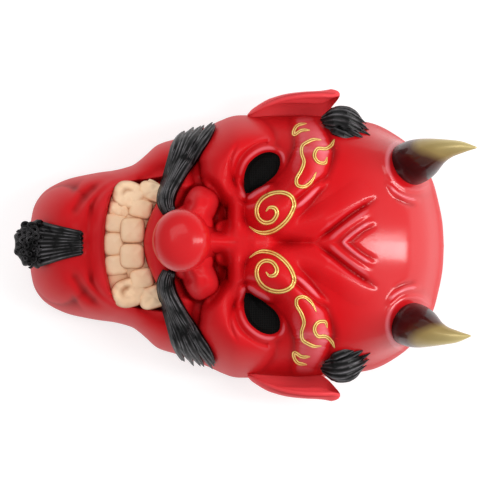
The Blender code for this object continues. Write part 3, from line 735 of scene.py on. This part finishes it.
# ---------------------------------------------------------------------------
# Horns. Two curved horns cast solid and glued into round sockets in the forehead. Sprayed black at
# the root, dark red in the middle and dull gold to the tip, under satin varnish.
# ---------------------------------------------------------------------------
# Stations from root to tip: x, y, z, radius.
HORN = [
    (98, 48, 34, 12.8), (101, 49.2, 46, 14.0), (104, 50.3, 58, 14.4), (107, 51.6, 68, 13.6),
    (111, 53.4, 77.5, 11.6), (116.5, 55.4, 85.5, 8.8), (123.5, 57.0, 91.5, 5.9), (131, 57.6, 95.6, 3.7),
    (139.2, 57.2, 98.6, 0.5),
]
# How far each horn's tip is moved along: hand-cast horns never quite match.
TIP_SHIFT = {"right": 1.6, "left": -2.2}


def headings(line):
    """Unit vectors along a line of points."""
    ahead = np.gradient(line, axis=0)
    return ahead / np.linalg.norm(ahead, axis=1, keepdims=True)


def swept(path, wide, deep, around, up=(0, 0, 1), ribs=0.0, rib_count=0):
    """An ellipse carried along a path, across the up direction; ribs swell it in and out round its girth."""
    path = np.asarray(path, float)
    ahead = headings(path)
    side = np.cross(np.asarray(up, float), ahead)
    side /= np.linalg.norm(side, axis=1, keepdims=True)
    lift = np.cross(ahead, side)
    turn = whole_turn(around)
    swell = 1 + ribs * np.cos(rib_count * turn)
    wide, deep = np.broadcast_to(wide, len(path)), np.broadcast_to(deep, len(path))
    across = (wide[:, None] * np.cos(turn) * swell)[..., None] * side[:, None]
    over = (deep[:, None] * np.sin(turn) * swell)[..., None] * lift[:, None]
    return path[:, None] + across + over


def set_values(piece, name, values):
    """Puts one number on each point of a piece, for its finish to read."""
    made = piece.data.attributes.new(name, "FLOAT", "POINT")
    made.data.foreach_set("value", np.asarray(values, np.float32).ravel())


def horn_rings(shift):
    """Rings across the horn's curve, a little wider than deep; the tip is moved along by the shift."""
    line = smooth_line(HORN, 10)
    share = np.linspace(0, 1, len(line))
    path = line[:, :3] + np.stack([shift * share**1.5, 0 * share, 0 * share], axis=-1)
    return swept(path, line[:, 3] * 1.06, line[:, 3] * 0.95, 48, up=(0, 1, 0))


horn_paint = Finish("horn_spray_paint", coat_weight=0.40, coat_roughness=0.07, specular_ior_level=0.12)
tipward = (horn_paint.attribute("along") + (horn_paint.noise(26.0, 3.0) - 0.5) * 0.20
           + horn_paint.attribute("outer") * 0.13)
horn_colour = horn_paint.node("ValToRGB", {"stops": [
    (0.0, (0.003, 0.002, 0.002)), (0.36, (0.004, 0.002, 0.002)), (0.46, (0.038, 0.003, 0.003)),
    (0.54, (0.070, 0.020, 0.010)), (0.64, (0.340, 0.240, 0.080)), (1.0, (0.600, 0.480, 0.210)),
]}, {"Fac": tipward})
gilt = (tipward * 4 - 2.2).held()
horn_paint.set(base_color=horn_colour, metallic=gilt * 0.45,
               roughness=0.40 - gilt * 0.06 + horn_paint.noise(120.0) * 0.08)
horn_paint.bump(horn_paint.noise(300.0, 2.0) + horn_paint.noise(60.0) * 0.8, 0.10, 0.0008)
for side, shift in TIP_SHIFT.items():
    rings = horn_rings(shift)
    along = np.broadcast_to(np.linspace(0, 1, len(rings))[:, None], rings.shape[:2])
    outer = np.broadcast_to(np.sin(whole_turn(rings.shape[1])), rings.shape[:2])
    part = lofted(rings) if side == "right" else mirrored(lofted(rings))
    horn = make_piece("horn_" + side + "_painted", *part, horn_paint.material)
    set_values(horn, "along", np.concatenate([along.ravel(), [0, 1]]))
    set_values(horn, "outer", np.concatenate([outer.ravel(), [0, 0]]))
    glued(horn, "horn_" + side)

# ---------------------------------------------------------------------------
# Teeth. Two rows cast in ivory resin and glued on the floor of the mouth, with broad worn crowns and
# knobbly corner molars; the ivory turns tan-brown down each crown's sides, in the molar pits and over the
# gum.
# ---------------------------------------------------------------------------
# Crowns: middle (x, y), half sizes (x, y), turn in degrees, how proud each stands, and the power
# that squares it (a low power gives straight sides; the corner molars are nearly round).
UPPER_CROWNS = [
    (-69.4, 7.9, 7.8, 8.2, 0, 1.2, 0.50), (-69.6, -7.9, 7.8, 8.0, 0, 1.2, 0.50),
    (-64.4, 21.4, 7.4, 6.2, -12, 0.5, 0.50), (-63.8, -21.6, 7.4, 6.4, 12, 0.5, 0.50),
    (-57.0, 32.0, 9.6, 6.2, -18, 0.2, 0.62), (-56.4, -32.8, 10.0, 7.2, 16, 0.2, 0.62),
]
LOWER_CROWNS = [
    (-80.8, -0.4, 6.8, 7.6, 0, 0.0, 0.50), (-79.8, 12.6, 7.0, 6.4, -4, 0.0, 0.50),
    (-79.4, -13.4, 7.6, 6.6, 6, 0.0, 0.50), (-77.4, 21.6, 7.2, 5.4, -12, 0.2, 0.6),
    (-71.6, 30.0, 10.8, 9.0, -18, 3.0, 0.86), (-71.6, -30.2, 11.6, 9.2, 16, 3.0, 0.86),
]
CROWN_DEEP = 7.6
# The gum under each row: middle (x, y), half width.
UPPER_GUM = [
    (-54, -36, 7.0), (-62.5, -24, 7.4), (-68, -10, 7.6), (-68.6, 0, 7.6), (-68, 10, 7.6), (-62.5, 24, 7.4),
    (-54, 36, 7.0),
]
LOWER_GUM = [
    (-72, -34, 8.0), (-76.5, -24, 8.0), (-79.5, -10, 7.2), (-80.2, 0, 7.0), (-79.5, 10, 7.2),
    (-76.5, 24, 8.0), (-72, 34, 8.0),
]
GUM_DROP = 3.0
GUM_TAN = 0.22
ROW_BOW = 11
# Rows of teeth: name, crowns, gum, height of the crowns' tops in the middle.
TOOTH_ROWS = (("upper_teeth", UPPER_CROWNS, UPPER_GUM, 71.5), ("lower_teeth", LOWER_CROWNS, LOWER_GUM, 68.5))


def gum(stations, top):
    """A low slab along the row, with rounded sides, that fills the gaps between the crowns."""
    line = smooth_line(stations, 8)
    path = np.column_stack([line[:, :2], top - GUM_DROP - CROWN_DEEP * 0.5 - bowed(line[:, 1], ROW_BOW)])
    rings = swept(path, line[:, 2], CROWN_DEEP * 0.5, 24)
    rings[..., 2] = np.maximum(rings[..., 2], POCKET_FLOOR - 1.2 - bowed(rings[..., 1], POCKET_BOW))
    return rings


def squared(value, power):
    """A cosine or sine raised to a power under one with its sign kept, so an oval's sides go flat."""
    return np.sign(value) * np.abs(value) ** power


def crown(x, y, half_x, half_y, turn, proud, square, top):
    """A superellipsoid of squared cosines and sines, with low knobs on top and a pit in each corner molar."""
    rise = np.linspace(-math.pi / 2 + 0.05, math.pi / 2 - 0.05, 18)[:, None]
    spin = whole_turn(36)[None]
    girth = squared(np.cos(rise), 0.36)
    u = half_x * girth * squared(np.cos(spin), square)
    v = half_y * girth * squared(np.sin(spin), square)
    c, s = math.cos(math.radians(turn)), math.sin(math.radians(turn))
    w = CROWN_DEEP * squared(np.sin(rise), 0.55) - 0.012 * (u * u + v * v)
    px, py = x + u * c - v * s, y + u * s + v * c
    knobs = (0.35 + 0.7 * (square > 0.55)) * np.sin(px * 0.9 + y) * np.cos(py * 0.8 + x)
    pz = top - CROWN_DEEP + proud + w + knobs * (rise > 0) - 0.006 * (py**2 - y**2)
    pz = np.maximum(pz, POCKET_FLOOR - 1.6 - bowed(py, POCKET_BOW))
    hollow = (square > 0.8) * (rise > 0) * np.exp(-(((u + 1) / 3.0) ** 2) - ((v - 1) / 2.6) ** 2)
    pz = pz - 3.2 * hollow
    # Share of tan: most round each crown's widest girth, more in the molar pits, a little more on the side
    # teeth.
    wear = np.clip(1 - np.abs(np.sin(rise)) ** 0.5 + 0 * px, 0, 1) + 0.75 * hollow + 0.10 * (square > 0.55)
    return lofted(np.stack([px, py, pz], axis=-1)), np.concatenate([wear.ravel(), [0, 0]])


tooth_resin = Finish("tooth_resin", specular_ior_level=0.35)
# Tan-brown mixed into the ivory by the tan share, broken up by noise.
tan_mix = (tooth_resin.attribute("wear") * 2.6 - 0.35 + (tooth_resin.noise(70.0, 4.0) - 0.5) * 1.1).held()
ivory = tooth_resin.mix(tooth_resin.noise(40.0, 3.0), (0.960, 0.600, 0.350), (1.000, 0.760, 0.520))
tooth_resin.set(base_color=tooth_resin.mix(tan_mix * 0.85, ivory, (0.420, 0.150, 0.050)),
                roughness=tooth_resin.noise(90.0) * 0.2 + 0.38)
tooth_resin.bump(tooth_resin.noise(140.0, 3.0), 0.18, 0.0010)
for row_name, crowns, gum_line, top in TOOTH_ROWS:
    made = [crown(*one, top - bowed(one[1], ROW_BOW)) for one in crowns]
    slab = lofted(gum(gum_line, top))
    row = joined([*[part for part, _ in made], slab])
    teeth = make_piece(row_name + "_crowns", *row, tooth_resin.material)
    set_values(teeth, "wear", np.concatenate([*[wear for _, wear in made], np.full(len(slab[0]), GUM_TAN)]))
    glued(teeth, row_name)

# ---------------------------------------------------------------------------
# Eye screens. Discs of stiff black net glued behind the eye openings, so the wearer can see out; their
# near-black is partly the net's own and partly painted shade for the hollow eyes.
# ---------------------------------------------------------------------------
# Depth of the screen's face and back under the lids' outside, how far its edge is let into the wall,
# and how much lower its middle is.
SCREEN_DROP = (2.8, 3.4)
SCREEN_LAP = 2.4
SCREEN_SAG = 1.6
SCREEN_SHARES = (0.02, 0.3, 0.6, 0.8, 0.9, 1.0)


def eye_screen(sign):
    """The eye's outline grown all round into the wall, as a thin closed dish that follows the lids: it
    rises from the middle to the edge with the fourth power of the way out."""
    middle = eye_line.mean(axis=0)
    away = eye_line - middle
    edge = middle + away * (1 + SCREEN_LAP / np.linalg.norm(away, axis=1))[:, None]
    edge_z = skin_height(edge[:, 0], edge[:, 1])
    middle_z = edge_z.min() - SCREEN_SAG
    rings = []
    for drop, shares in ((SCREEN_DROP[0], SCREEN_SHARES), (SCREEN_DROP[1], SCREEN_SHARES[::-1])):
        for share in shares:
            xy = middle + (edge - middle) * share
            z = middle_z + (edge_z - middle_z) * share**4 - drop
            rings.append(np.column_stack([xy[:, 0], xy[:, 1] * sign, z]))
    return lofted(np.array(rings))


net = Finish("eye_shade_black_net", specular_ior_level=0.08)
weave = [net.node("TexWave", {"bands_direction": way}, {"Vector": net.place(), "Scale": 230.0}, 1)
         for way in "XY"]
threads = net.node("Math", {"operation": "MAXIMUM"}, {0: weave[0], 1: weave[1]})
# Near-black net with barely lighter threads: partly the net's own black, partly painted shade for the inside
# of the eye openings.
net.set(base_color=net.mix(threads, (0.0012, 0.0012, 0.0012), (0.0075, 0.0080, 0.0075)),
        roughness=0.75 - threads * 0.15)
net.bump(threads, 0.4, 0.0004)
for side, sign in (("right", 1), ("left", -1)):
    screen = make_piece("eye_net_" + side, *eye_screen(sign), net.material, smooth=False)
    glued(screen, "eye_screen_" + side)

# ---------------------------------------------------------------------------
# Moustache. Two sweeps of cast black hair, each of fourteen overlapping strands that fan out to
# a comb of points over the cheek. Black, with grey on the upper side of the ridges: partly dry-brushed grey,
# partly a painted highlight.
# ---------------------------------------------------------------------------
# Band of hair: middle (x, y), half width, height over the skin.
BAND = [
    (-46.2, 18.0, 3.0, 4.0), (-48.2, 25, 3.8, 4.6), (-47.0, 33, 4.6, 4.8), (-42.6, 44, 6.2, 4.8),
    (-38.2, 54, 8.2, 4.8), (-34.0, 64, 9.8, 4.6), (-30.0, 72, 10.6, 4.2), (-26.0, 80.5, 11.0, 3.4),
]
# Strands: place across the band (-1 chin side, 1 crown side) at its root and at its end, where it
# ends along the band, radius, height.
STRANDS = [
    (-0.92, -0.86, 0.80, 2.3, 0.0), (-0.70, -0.74, 0.82, 2.3, 0.8), (-0.48, -0.46, 0.88, 2.3, 1.0),
    (-0.28, -0.36, 0.90, 2.4, 1.6), (-0.08, 0.02, 0.93, 2.3, 1.2), (0.12, 0.10, 0.95, 2.4, 1.9),
    (0.32, 0.54, 0.99, 2.3, 1.3), (0.52, 0.60, 1.00, 2.4, 1.8), (0.70, 0.70, 0.99, 2.3, 1.2),
    (0.88, 0.80, 0.97, 2.2, 0.4), (-0.60, -0.66, 0.66, 1.9, 2.2), (0.20, 0.24, 0.72, 2.0, 3.0),
    (0.74, 0.70, 0.60, 1.9, 2.1), (-0.15, -0.20, 0.58, 2.0, 2.9),
]
RIBS = 6


def rib_values(rings):
    """One number to a point: 1 on the ridges along each strand's upper side, 0 underneath and in the grooves,
    for grey that is part dry-brush, part painted highlight; closing points last.
    """
    turn = whole_turn(rings.shape[1])
    crest = (0.5 + 0.5 * np.cos(RIBS * turn)) * np.clip(np.sin(turn) + 0.3, 0, 1)
    return np.concatenate([np.broadcast_to(crest, rings.shape[:2]).ravel(), [0, 0]])


def band_strand(across, end_across, end, radius, raise_by):
    """One strand: a line down the band, fat in the middle and pointed at its end, with fine ribs."""
    line = smooth_line(BAND, 8)
    share = np.linspace(0, 1, len(line))
    ahead = headings(line[:, :2])
    side = np.column_stack([ahead[:, 1], -ahead[:, 0]])
    swing = across + (end_across - across) * np.clip(share / end, 0, 1) ** 1.5
    swing = swing + 0.06 * np.sin(share * 7 + across * 9)
    xy = line[:, :2] + side * (swing * line[:, 2])[:, None]
    kept = share <= end
    xy, share, high = xy[kept], share[kept] / end, line[kept, 3]
    hump = np.sqrt(np.clip(1 - across**2 * 0.8, 0, 1))
    z = skin_height(xy[:, 0], xy[:, 1]) * 0.35 + band_floor(xy) * 0.65 + high * hump - 1.2 + raise_by * 0.5
    taper = np.clip(np.minimum(1.0, 4.6 * (1 - share)) ** 0.7, 0.04, 1) * np.clip(0.60 + share * 2.2, 0, 1)
    thick = radius * taper * (0.85 + 0.35 * share)
    return swept(np.column_stack([xy, z]), thick, thick * 1.1, 24, ribs=0.10, rib_count=RIBS)


def band_floor(xy):
    """Height of the hair's underside: the highest skin 3 mm to any side, so strands bridge the folds."""
    return np.maximum.reduce([skin_height(xy[:, 0] + dx, xy[:, 1] + dy)
                              for dx, dy in ((0, 0), (3, 0), (-3, 0), (0, 3), (0, -3))])


def black_hair(name):
    """Black with grey on the upper side of the raised ribs, patchy along the hair: partly dry-brushed grey,
    partly a painted highlight.
    """
    hair = Finish(name, specular_ior_level=0.10, coat_weight=0.14, coat_roughness=0.14)
    patches = (hair.noise(110.0, 4.0) * 3.0 - 1.05).held()
    # Grey on the upper side of the ribs: partly dry-brushed grey, partly a painted highlight.
    ridge_paint_and_highlight = (hair.attribute("rib") ** 3.0 * patches).held()
    hair.set(base_color=hair.mix(ridge_paint_and_highlight, (0.0008, 0.0006, 0.0007), (0.210, 0.200, 0.212)),
             roughness=0.52 - ridge_paint_and_highlight * 0.14)
    hair.bump(hair.noise(420.0, 3.0), 0.25, 0.0006)
    return hair.material


def hair_piece(name, strands, finish, node, mirror):
    """A group of strands as one object, mirrored for the left side."""
    part = joined([lofted(rings) for rings in strands])
    piece = make_piece(name, *(mirrored(part) if mirror else part), finish)
    set_values(piece, "rib", np.concatenate([rib_values(rings) for rings in strands]))
    glued(piece, node)


moustache_black = black_hair("moustache_black")
sweep = [band_strand(*one) for one in STRANDS]
hair_piece("moustache_hair_right", sweep, moustache_black, "moustache_right", False)
hair_piece("moustache_hair_left", sweep, moustache_black, "moustache_left", True)

# ---------------------------------------------------------------------------
# Beard. A flat lock of combed hair down the chin that ends in a tuft of tight curls, cast in black
# and glued on.
# ---------------------------------------------------------------------------
# Lock strands: start (x, y), end (x, y), radius.
LOCK = [(-99.5, y, -130, y * 2.1, 2.7) for y in (-5.6, -2.8, 0.0, 2.8, 5.6)]
LOCK += [(-100, y, -129, y * 2.0, 2.2) for y in (-4.3, -1.4, 1.4, 4.3)]
# Tuft: middle, half sizes. Curls sit over it at (turn round the tuft in degrees, share of the way
# out), each of this radius.
TUFT = (-131.0, 0.0, 52.0)
TUFT_HALF = (12.0, 14.0, 12.0)
CURL_COUNT = 30
# Turning by the golden angle spreads the curls evenly, as seeds sit in a sunflower.
GOLDEN_ANGLE = 137.5
CURLS = [
    (GOLDEN_ANGLE * k + 8, 0.96 * math.sqrt((k + 0.5) / CURL_COUNT), 2.5 + 0.5 * math.sin(k * 2.4))
    for k in range(CURL_COUNT)
]
BEARD_END = -143.6


def tuft_point(turn, share):
    """A place on the upper half of the tuft's ellipsoid, by its turn and how far out it is."""
    out = math.radians(turn)
    x, y = TUFT[0] + TUFT_HALF[0] * share * math.cos(out), TUFT_HALF[1] * share * math.sin(out)
    return x, y, TUFT[2] + TUFT_HALF[2] * math.sqrt(max(1 - share * share, 0.0))


def lock_height(x, y):
    """The chin's height under the lip, a lift and then a fall towards the tuft, less a bow to the sides."""
    out = np.clip((-x - 99) / 30, 0, 1.4)
    return 66.8 + 3.0 * out - 9.5 * out**2.2 - 0.045 * np.asarray(y) ** 2


def lock_strand(x0, y0, x1, y1, radius):
    """A strand of the flat lock from the lip to the tuft."""
    share = np.linspace(0, 1, 40)
    x, y = x0 + (x1 - x0) * share, y0 + (y1 - y0) * share**1.2
    thick = radius * (0.62 + 0.5 * share) * np.clip(share * 14 + 0.35, 0, 1)
    z = np.maximum(lock_height(x, y), skin_height(x, y) + 0.8)
    return swept(np.column_stack([x, y, z]), thick, thick * 0.9, 24, ribs=0.08, rib_count=RIBS)


def curl(turn, share, radius):
    """A strand wound inwards one and a quarter turns on the tuft, rising to its middle like a snail."""
    x, y, z = tuft_point(turn, share)
    along = np.linspace(0, 1, 48)
    wind = math.radians(turn * 2.3) + along * 2.5 * math.pi * (1 if math.sin(turn) > 0 else -1)
    reach = radius * (1 - 0.80 * along)
    tip_x = np.clip(x + reach * np.cos(wind), BEARD_END, None)
    tip_z = z - 1.0 + 2.0 * along - 1.4 * share * (reach - radius)
    path = np.column_stack([tip_x, y + reach * np.sin(wind), tip_z])
    thick = 0.40 * radius * (1 - 0.40 * along) * np.clip(along * 10 + 0.2, 0, 1)
    return swept(path, thick, thick * 1.3, 12)


def tuft_core():
    """The tuft under the curls: a closed ellipsoid, lobed round its edge."""
    rise = np.linspace(-math.pi / 2 + 0.04, math.pi / 2 - 0.04, 22)[:, None]
    spin = whole_turn(72)[None]
    lobe = 1 + 0.12 * np.abs(np.cos(4.5 * spin)) ** 4
    x = TUFT[0] + TUFT_HALF[0] * np.cos(rise) * np.cos(spin) * lobe
    y = TUFT_HALF[1] * np.cos(rise) * np.sin(spin) * lobe
    z = TUFT[2] + (TUFT_HALF[2] - 1.0) * np.sin(rise) + 0 * spin
    return np.stack([x, y, z], axis=-1)


beard_black = black_hair("beard_black")
beard = [*[lock_strand(*one) for one in LOCK], tuft_core(), *[curl(*one) for one in CURLS]]
hair_piece("beard", beard, beard_black, "goatee", False)

# ---------------------------------------------------------------------------
# Temple hair. A tuft of swept-back locks in front of each ear point, cast in black and glued on.
# ---------------------------------------------------------------------------
# Locks: points (x, y) along each, and its radius.
TEMPLE_LOCKS = [
    ([(48.5, 79.0), (57, 82.0), (66, 80.4), (75.5, 75.5)], 3.2),
    ([(48.0, 77.5), (58, 78.6), (68, 76.0), (77.2, 71.8)], 3.5),
    ([(49.0, 75.5), (58, 75.0), (68, 72.4), (77.8, 67.8)], 3.6),
    ([(50.5, 73.4), (58, 71.6), (66, 69.2), (74.0, 65.4)], 3.7),
    ([(53.5, 70.8), (58, 68.8), (64, 66.6), (70.0, 64.6)], 3.4),
    ([(51.0, 81.0), (59, 83.4), (67, 82.0), (72.5, 78.6)], 2.6),
]


def temple_lock(points, radius):
    """A lock lying on the tuft's mound, fattest a third of the way along and pointed at its end."""
    xy = smooth_line(points, 12)
    share = np.linspace(0, 1, len(xy))
    mound = 1 - ((xy[:, 0] - 61) / 17) ** 2 - ((xy[:, 1] - 77) / 12) ** 2
    z = 40 + 13.5 * np.sqrt(np.clip(mound, 0.02, 1))
    z = np.maximum(z, np.minimum(skin_height(xy[:, 0], xy[:, 1]) + 0.4, 56))
    thick = radius * np.clip(0.35 + share * 2.6, 0, 1) * np.clip(2.2 * (1 - share), 0.05, 1) ** 0.8
    return swept(np.column_stack([xy, z]), thick, thick * 1.5, 24, ribs=0.09, rib_count=RIBS)


temple_black = black_hair("temple_black")
tuft = [temple_lock(*one) for one in TEMPLE_LOCKS]
hair_piece("temple_tuft_right", tuft, temple_black, "temple_hair_right", False)
hair_piece("temple_tuft_left", tuft, temple_black, "temple_hair_left", True)

# ---------------------------------------------------------------------------
# Gold scrolls. Thin double-edged ribs modelled proud of the brows, a spiral on each inner brow and
# loose cloud curls above it, picked out by hand in gold paint.
# ---------------------------------------------------------------------------
SPIRAL = [
    (2.5, 9.6), (7.4, 6.4), (12.8, 5.6), (19.5, 7.9), (26.2, 14.0), (29.9, 21.9), (28.0, 27.6), (21.9, 30.2),
    (15.3, 29.4), (9.8, 25.8), (7.1, 20.1), (8.0, 14.6), (11.8, 11.6), (16.5, 12.4), (19.3, 16.4),
    (18.4, 20.0), (15.0, 20.8), (12.7, 18.4),
]
CURL_LINES = [
    [(40.2, 70.0), (35.0, 70.0), (30.6, 67.4), (30.4, 70.6), (33.0, 74.0), (38.4, 75.0)],
    [(47.0, 63.4), (42.6, 63.6), (38.6, 62.0), (35.2, 59.4), (34.6, 54.6), (36.0, 49.0), (34.2, 43.4),
     (31.4, 38.4), (32.0, 34.4), (36.4, 33.6), (40.6, 37.0), (43.6, 42.6)],
    [(55.4, 64.6), (53.2, 60.4), (49.4, 57.6), (44.6, 57.4), (42.4, 53.0), (44.6, 49.0), (49.0, 48.6),
     (50.4, 52.4)],
]
RIB_HALF = 1.25
RIB_HIGH = 1.05


def scroll(points, half):
    """A ribbon along the line: its top has two ridges with a dip between, and both ends taper to nothing."""
    line = smooth_line(points, 9)
    share = np.linspace(0, 1, len(line))
    ahead = headings(line)
    side = np.column_stack([ahead[:, 1], -ahead[:, 0]])
    u = np.linspace(-1, 1, 11)
    width = half * np.clip(7 * np.minimum(share, 1 - share) + 0.25, 0, 1)
    xy = line[:, None] + side[:, None] * (width[:, None] * u)[..., None]
    floor_z = skin_height(xy[..., 0], xy[..., 1])
    rise = RIB_HIGH * (1 - u**8) * (0.35 + 0.65 * np.sin(np.pi * np.abs(u)) ** 2) * (width / half)[:, None]
    top = np.concatenate([xy, (floor_z + rise + 0.05)[..., None]], axis=-1)
    under = np.concatenate([xy, (floor_z - 0.6)[..., None]], axis=-1)
    # Each point's share of the painted highlight: most on the two ridges, none in the dip or underneath.
    crest = np.broadcast_to(np.sin(np.pi * np.abs(u)) ** 2, rise.shape)
    ridge_paint_and_highlight = np.concatenate([np.concatenate([crest, 0 * crest], axis=1).ravel(), [0, 0]])
    return lofted(np.concatenate([top, under[:, ::-1]], axis=1)), ridge_paint_and_highlight


gold = Finish("gold_paint", metallic=0.45, specular_ior_level=0.5)
gold_wear = gold.noise(320.0, 3.0)
# Bright gold on the two ridges and dark orange-brown in the dip between: painted highlight and painted shade,
# broken up by the paint's uneven wear.
bright = (gold.attribute("crest") * 1.3 + gold_wear * 0.9 - 0.55).held()
gold.set(base_color=gold.mix(bright, (0.420, 0.110, 0.012), (1.000, 0.740, 0.220)),
         roughness=gold_wear * 0.2 + 0.26)
gold.bump(gold_wear, 0.2, 0.0003)
scroll_parts = [scroll(SPIRAL, RIB_HALF * 1.2), *[scroll(line, RIB_HALF) for line in CURL_LINES]]
scrolls = joined([part for part, _ in scroll_parts])
for side, part in (("right", scrolls), ("left", mirrored(scrolls))):
    relief = make_piece("gold_scrolls_" + side, *part, gold.material)
    set_values(relief, "crest", np.concatenate([crest for _, crest in scroll_parts]))
    face_outward(relief)
    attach(relief, "mask")

# ---------------------------------------------------------------------------
# Foam pads. Three die-cut pads of charcoal open-cell foam with skived edges, stuck inside the
# forehead and the cheeks so that the shell sits off the wearer's face.
# ---------------------------------------------------------------------------
# Pads: middle (x, y), half length, half width, thickness.
PADS = {
    "forehead_pad": (74.0, 0.0, 18.5, 28.5, 7.0),
    "cheek_pad_right": (-22.0, 46.0, 11.0, 10.0, 6.0),
    "cheek_pad_left": (-22.0, -46.0, 11.0, 10.0, 6.0),
}
PAD_SHARES = (0.02, 0.3, 0.55, 0.8, 0.95, 1.0)
# How far a pad is under its fitted lining, and the share of the lining that the fit has to clear.
PAD_GAP = 1.3
PAD_CLEAR = 0.85
# The most that a pad swells, the size of its mesh, the push of its foam and the steps it swells in.
PAD_SWELL = 0.0009
PAD_VOXEL = 0.0022
PAD_PRESSURE = 4.0
PAD_STEPS = 20


def fitted_lining(middle_x, middle_y, half_x, half_y, lining):
    """The second-degree surface nearest the lining over a pad, lowered until nearly all of it is clear."""
    u, v = np.meshgrid(np.linspace(-1, 1, 11), np.linspace(-1, 1, 11))
    spots = np.column_stack([u.ravel() * half_x, v.ravel() * half_y])
    heights = np.array([lining(middle_x + dx, middle_y + dy) for dx, dy in spots])

    def terms(dx, dy):
        return np.stack([1 + 0 * dx, dx, dy, dx * dx, dx * dy, dy * dy], axis=-1)

    shape, *_ = np.linalg.lstsq(terms(*spots.T), heights, rcond=None)
    high = np.quantile(terms(*spots.T) @ shape - heights, PAD_CLEAR)
    return lambda x, y: terms(x - middle_x, y - middle_y) @ shape - high


def pad_blank(middle_x, middle_y, half_x, half_y, thick, lining):
    """Two skins over a squared oval: the top follows the lining overhead, the other lies under it."""
    turn = whole_turn(48)
    across, along = squared(np.cos(turn), 0.7), squared(np.sin(turn), 0.7)
    over = fitted_lining(middle_x, middle_y, half_x, half_y, lining)
    rings = []
    for under, shares in ((False, PAD_SHARES), (True, PAD_SHARES[::-1])):
        for share in shares:
            x, y = middle_x + half_x * share * across, middle_y + half_y * share * along
            rounding = 2.0 * share**6
            depth = thick - rounding if under else rounding
            rings.append(np.column_stack([x, y, over(x, y) - PAD_GAP - depth]))
    return lofted(np.array(rings))


def puff(pad):
    """Swells a pad like cloth round foam: evenly remeshed, blown up with the swell capped, then smoothed."""
    bpy.context.view_layer.objects.active = pad
    remesh = pad.modifiers.new("even_mesh", "REMESH")
    remesh.mode = "VOXEL"
    remesh.voxel_size = PAD_VOXEL
    bpy.ops.object.modifier_apply(modifier=remesh.name)
    start = np.array([v.co[:] for v in pad.data.vertices])
    cloth = pad.modifiers.new("swell", "CLOTH")
    cloth.settings.use_pressure = True
    cloth.settings.uniform_pressure_force = PAD_PRESSURE
    cloth.settings.effector_weights.gravity = 0.0
    for step in range(1, PAD_STEPS + 1):
        bpy.context.scene.frame_set(step)
    bpy.ops.object.modifier_apply(modifier=cloth.name)
    bpy.context.scene.frame_set(1)
    now = np.array([v.co[:] for v in pad.data.vertices])
    move = now - start
    far = np.linalg.norm(move, axis=1, keepdims=True)
    capped = start + move * np.minimum(1.0, PAD_SWELL / np.maximum(far, 1e-9))
    pad.data.vertices.foreach_set("co", capped.astype(np.float32).ravel())
    finer = pad.modifiers.new("finer", "SUBSURF")
    finer.levels = finer.render_levels = 1
    bpy.ops.object.modifier_apply(modifier=finer.name)
    pad.data.shade_smooth()


shell_tree = BVHTree.FromPolygons([v.co.copy() for v in shell.data.vertices],
                                  [tuple(p.vertices) for p in shell.data.polygons])


def inside_height(x, y):
    """Height in millimetres at which a line straight up from the table meets the inside of the shell."""
    hit = shell_tree.ray_cast(Vector((x * MM, y * MM, -0.01)), Vector((0, 0, 1)))
    return hit[0].z / MM


foam = Finish("charcoal_foam", specular_ior_level=0.15, sheen_weight=0.25)
cells = foam.node("TexVoronoi", {}, {"Vector": foam.place(), "Scale": 900.0}, "Distance")
foam.set(base_color=foam.mix((cells * 1.3).held(), (0.022, 0.022, 0.024), (0.072, 0.072, 0.076)),
         roughness=0.92 - cells * 0.06)
foam.bump(cells + foam.noise(260.0, 3.0) * 0.7, 0.5, 0.0008)
for pad_name, sizes in PADS.items():
    pad = make_piece(pad_name + "_foam", *pad_blank(*sizes, inside_height), foam.material)
    face_outward(pad)
    puff(pad)
    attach(pad, "mask")
    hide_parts(pad_name)

# ---------------------------------------------------------------------------
# Strap fittings. Three bent steel tabs screwed inside the edge, each with a loose wire ring for an
# elastic strap. Zinc-plated, with fine brushing.
# ---------------------------------------------------------------------------
steel = Finish("zinc_plated_steel", metallic=1.0)
grain = steel.noise(1400.0, 3.0)
steel.set(base_color=steel.mix(steel.noise(70.0, 3.0), (0.480, 0.490, 0.500), (0.660, 0.665, 0.650)),
          roughness=grain * 0.2 + 0.28)
steel.bump(grain, 0.12, 0.0002)
for side in ("left", "right", "crown"):
    for fitting in ("strap_tab_", "strap_screw_", "strap_ring_"):
        fitting_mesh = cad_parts[fitting + side].data
        fitting_mesh.materials.clear()
        fitting_mesh.materials.append(steel.material)
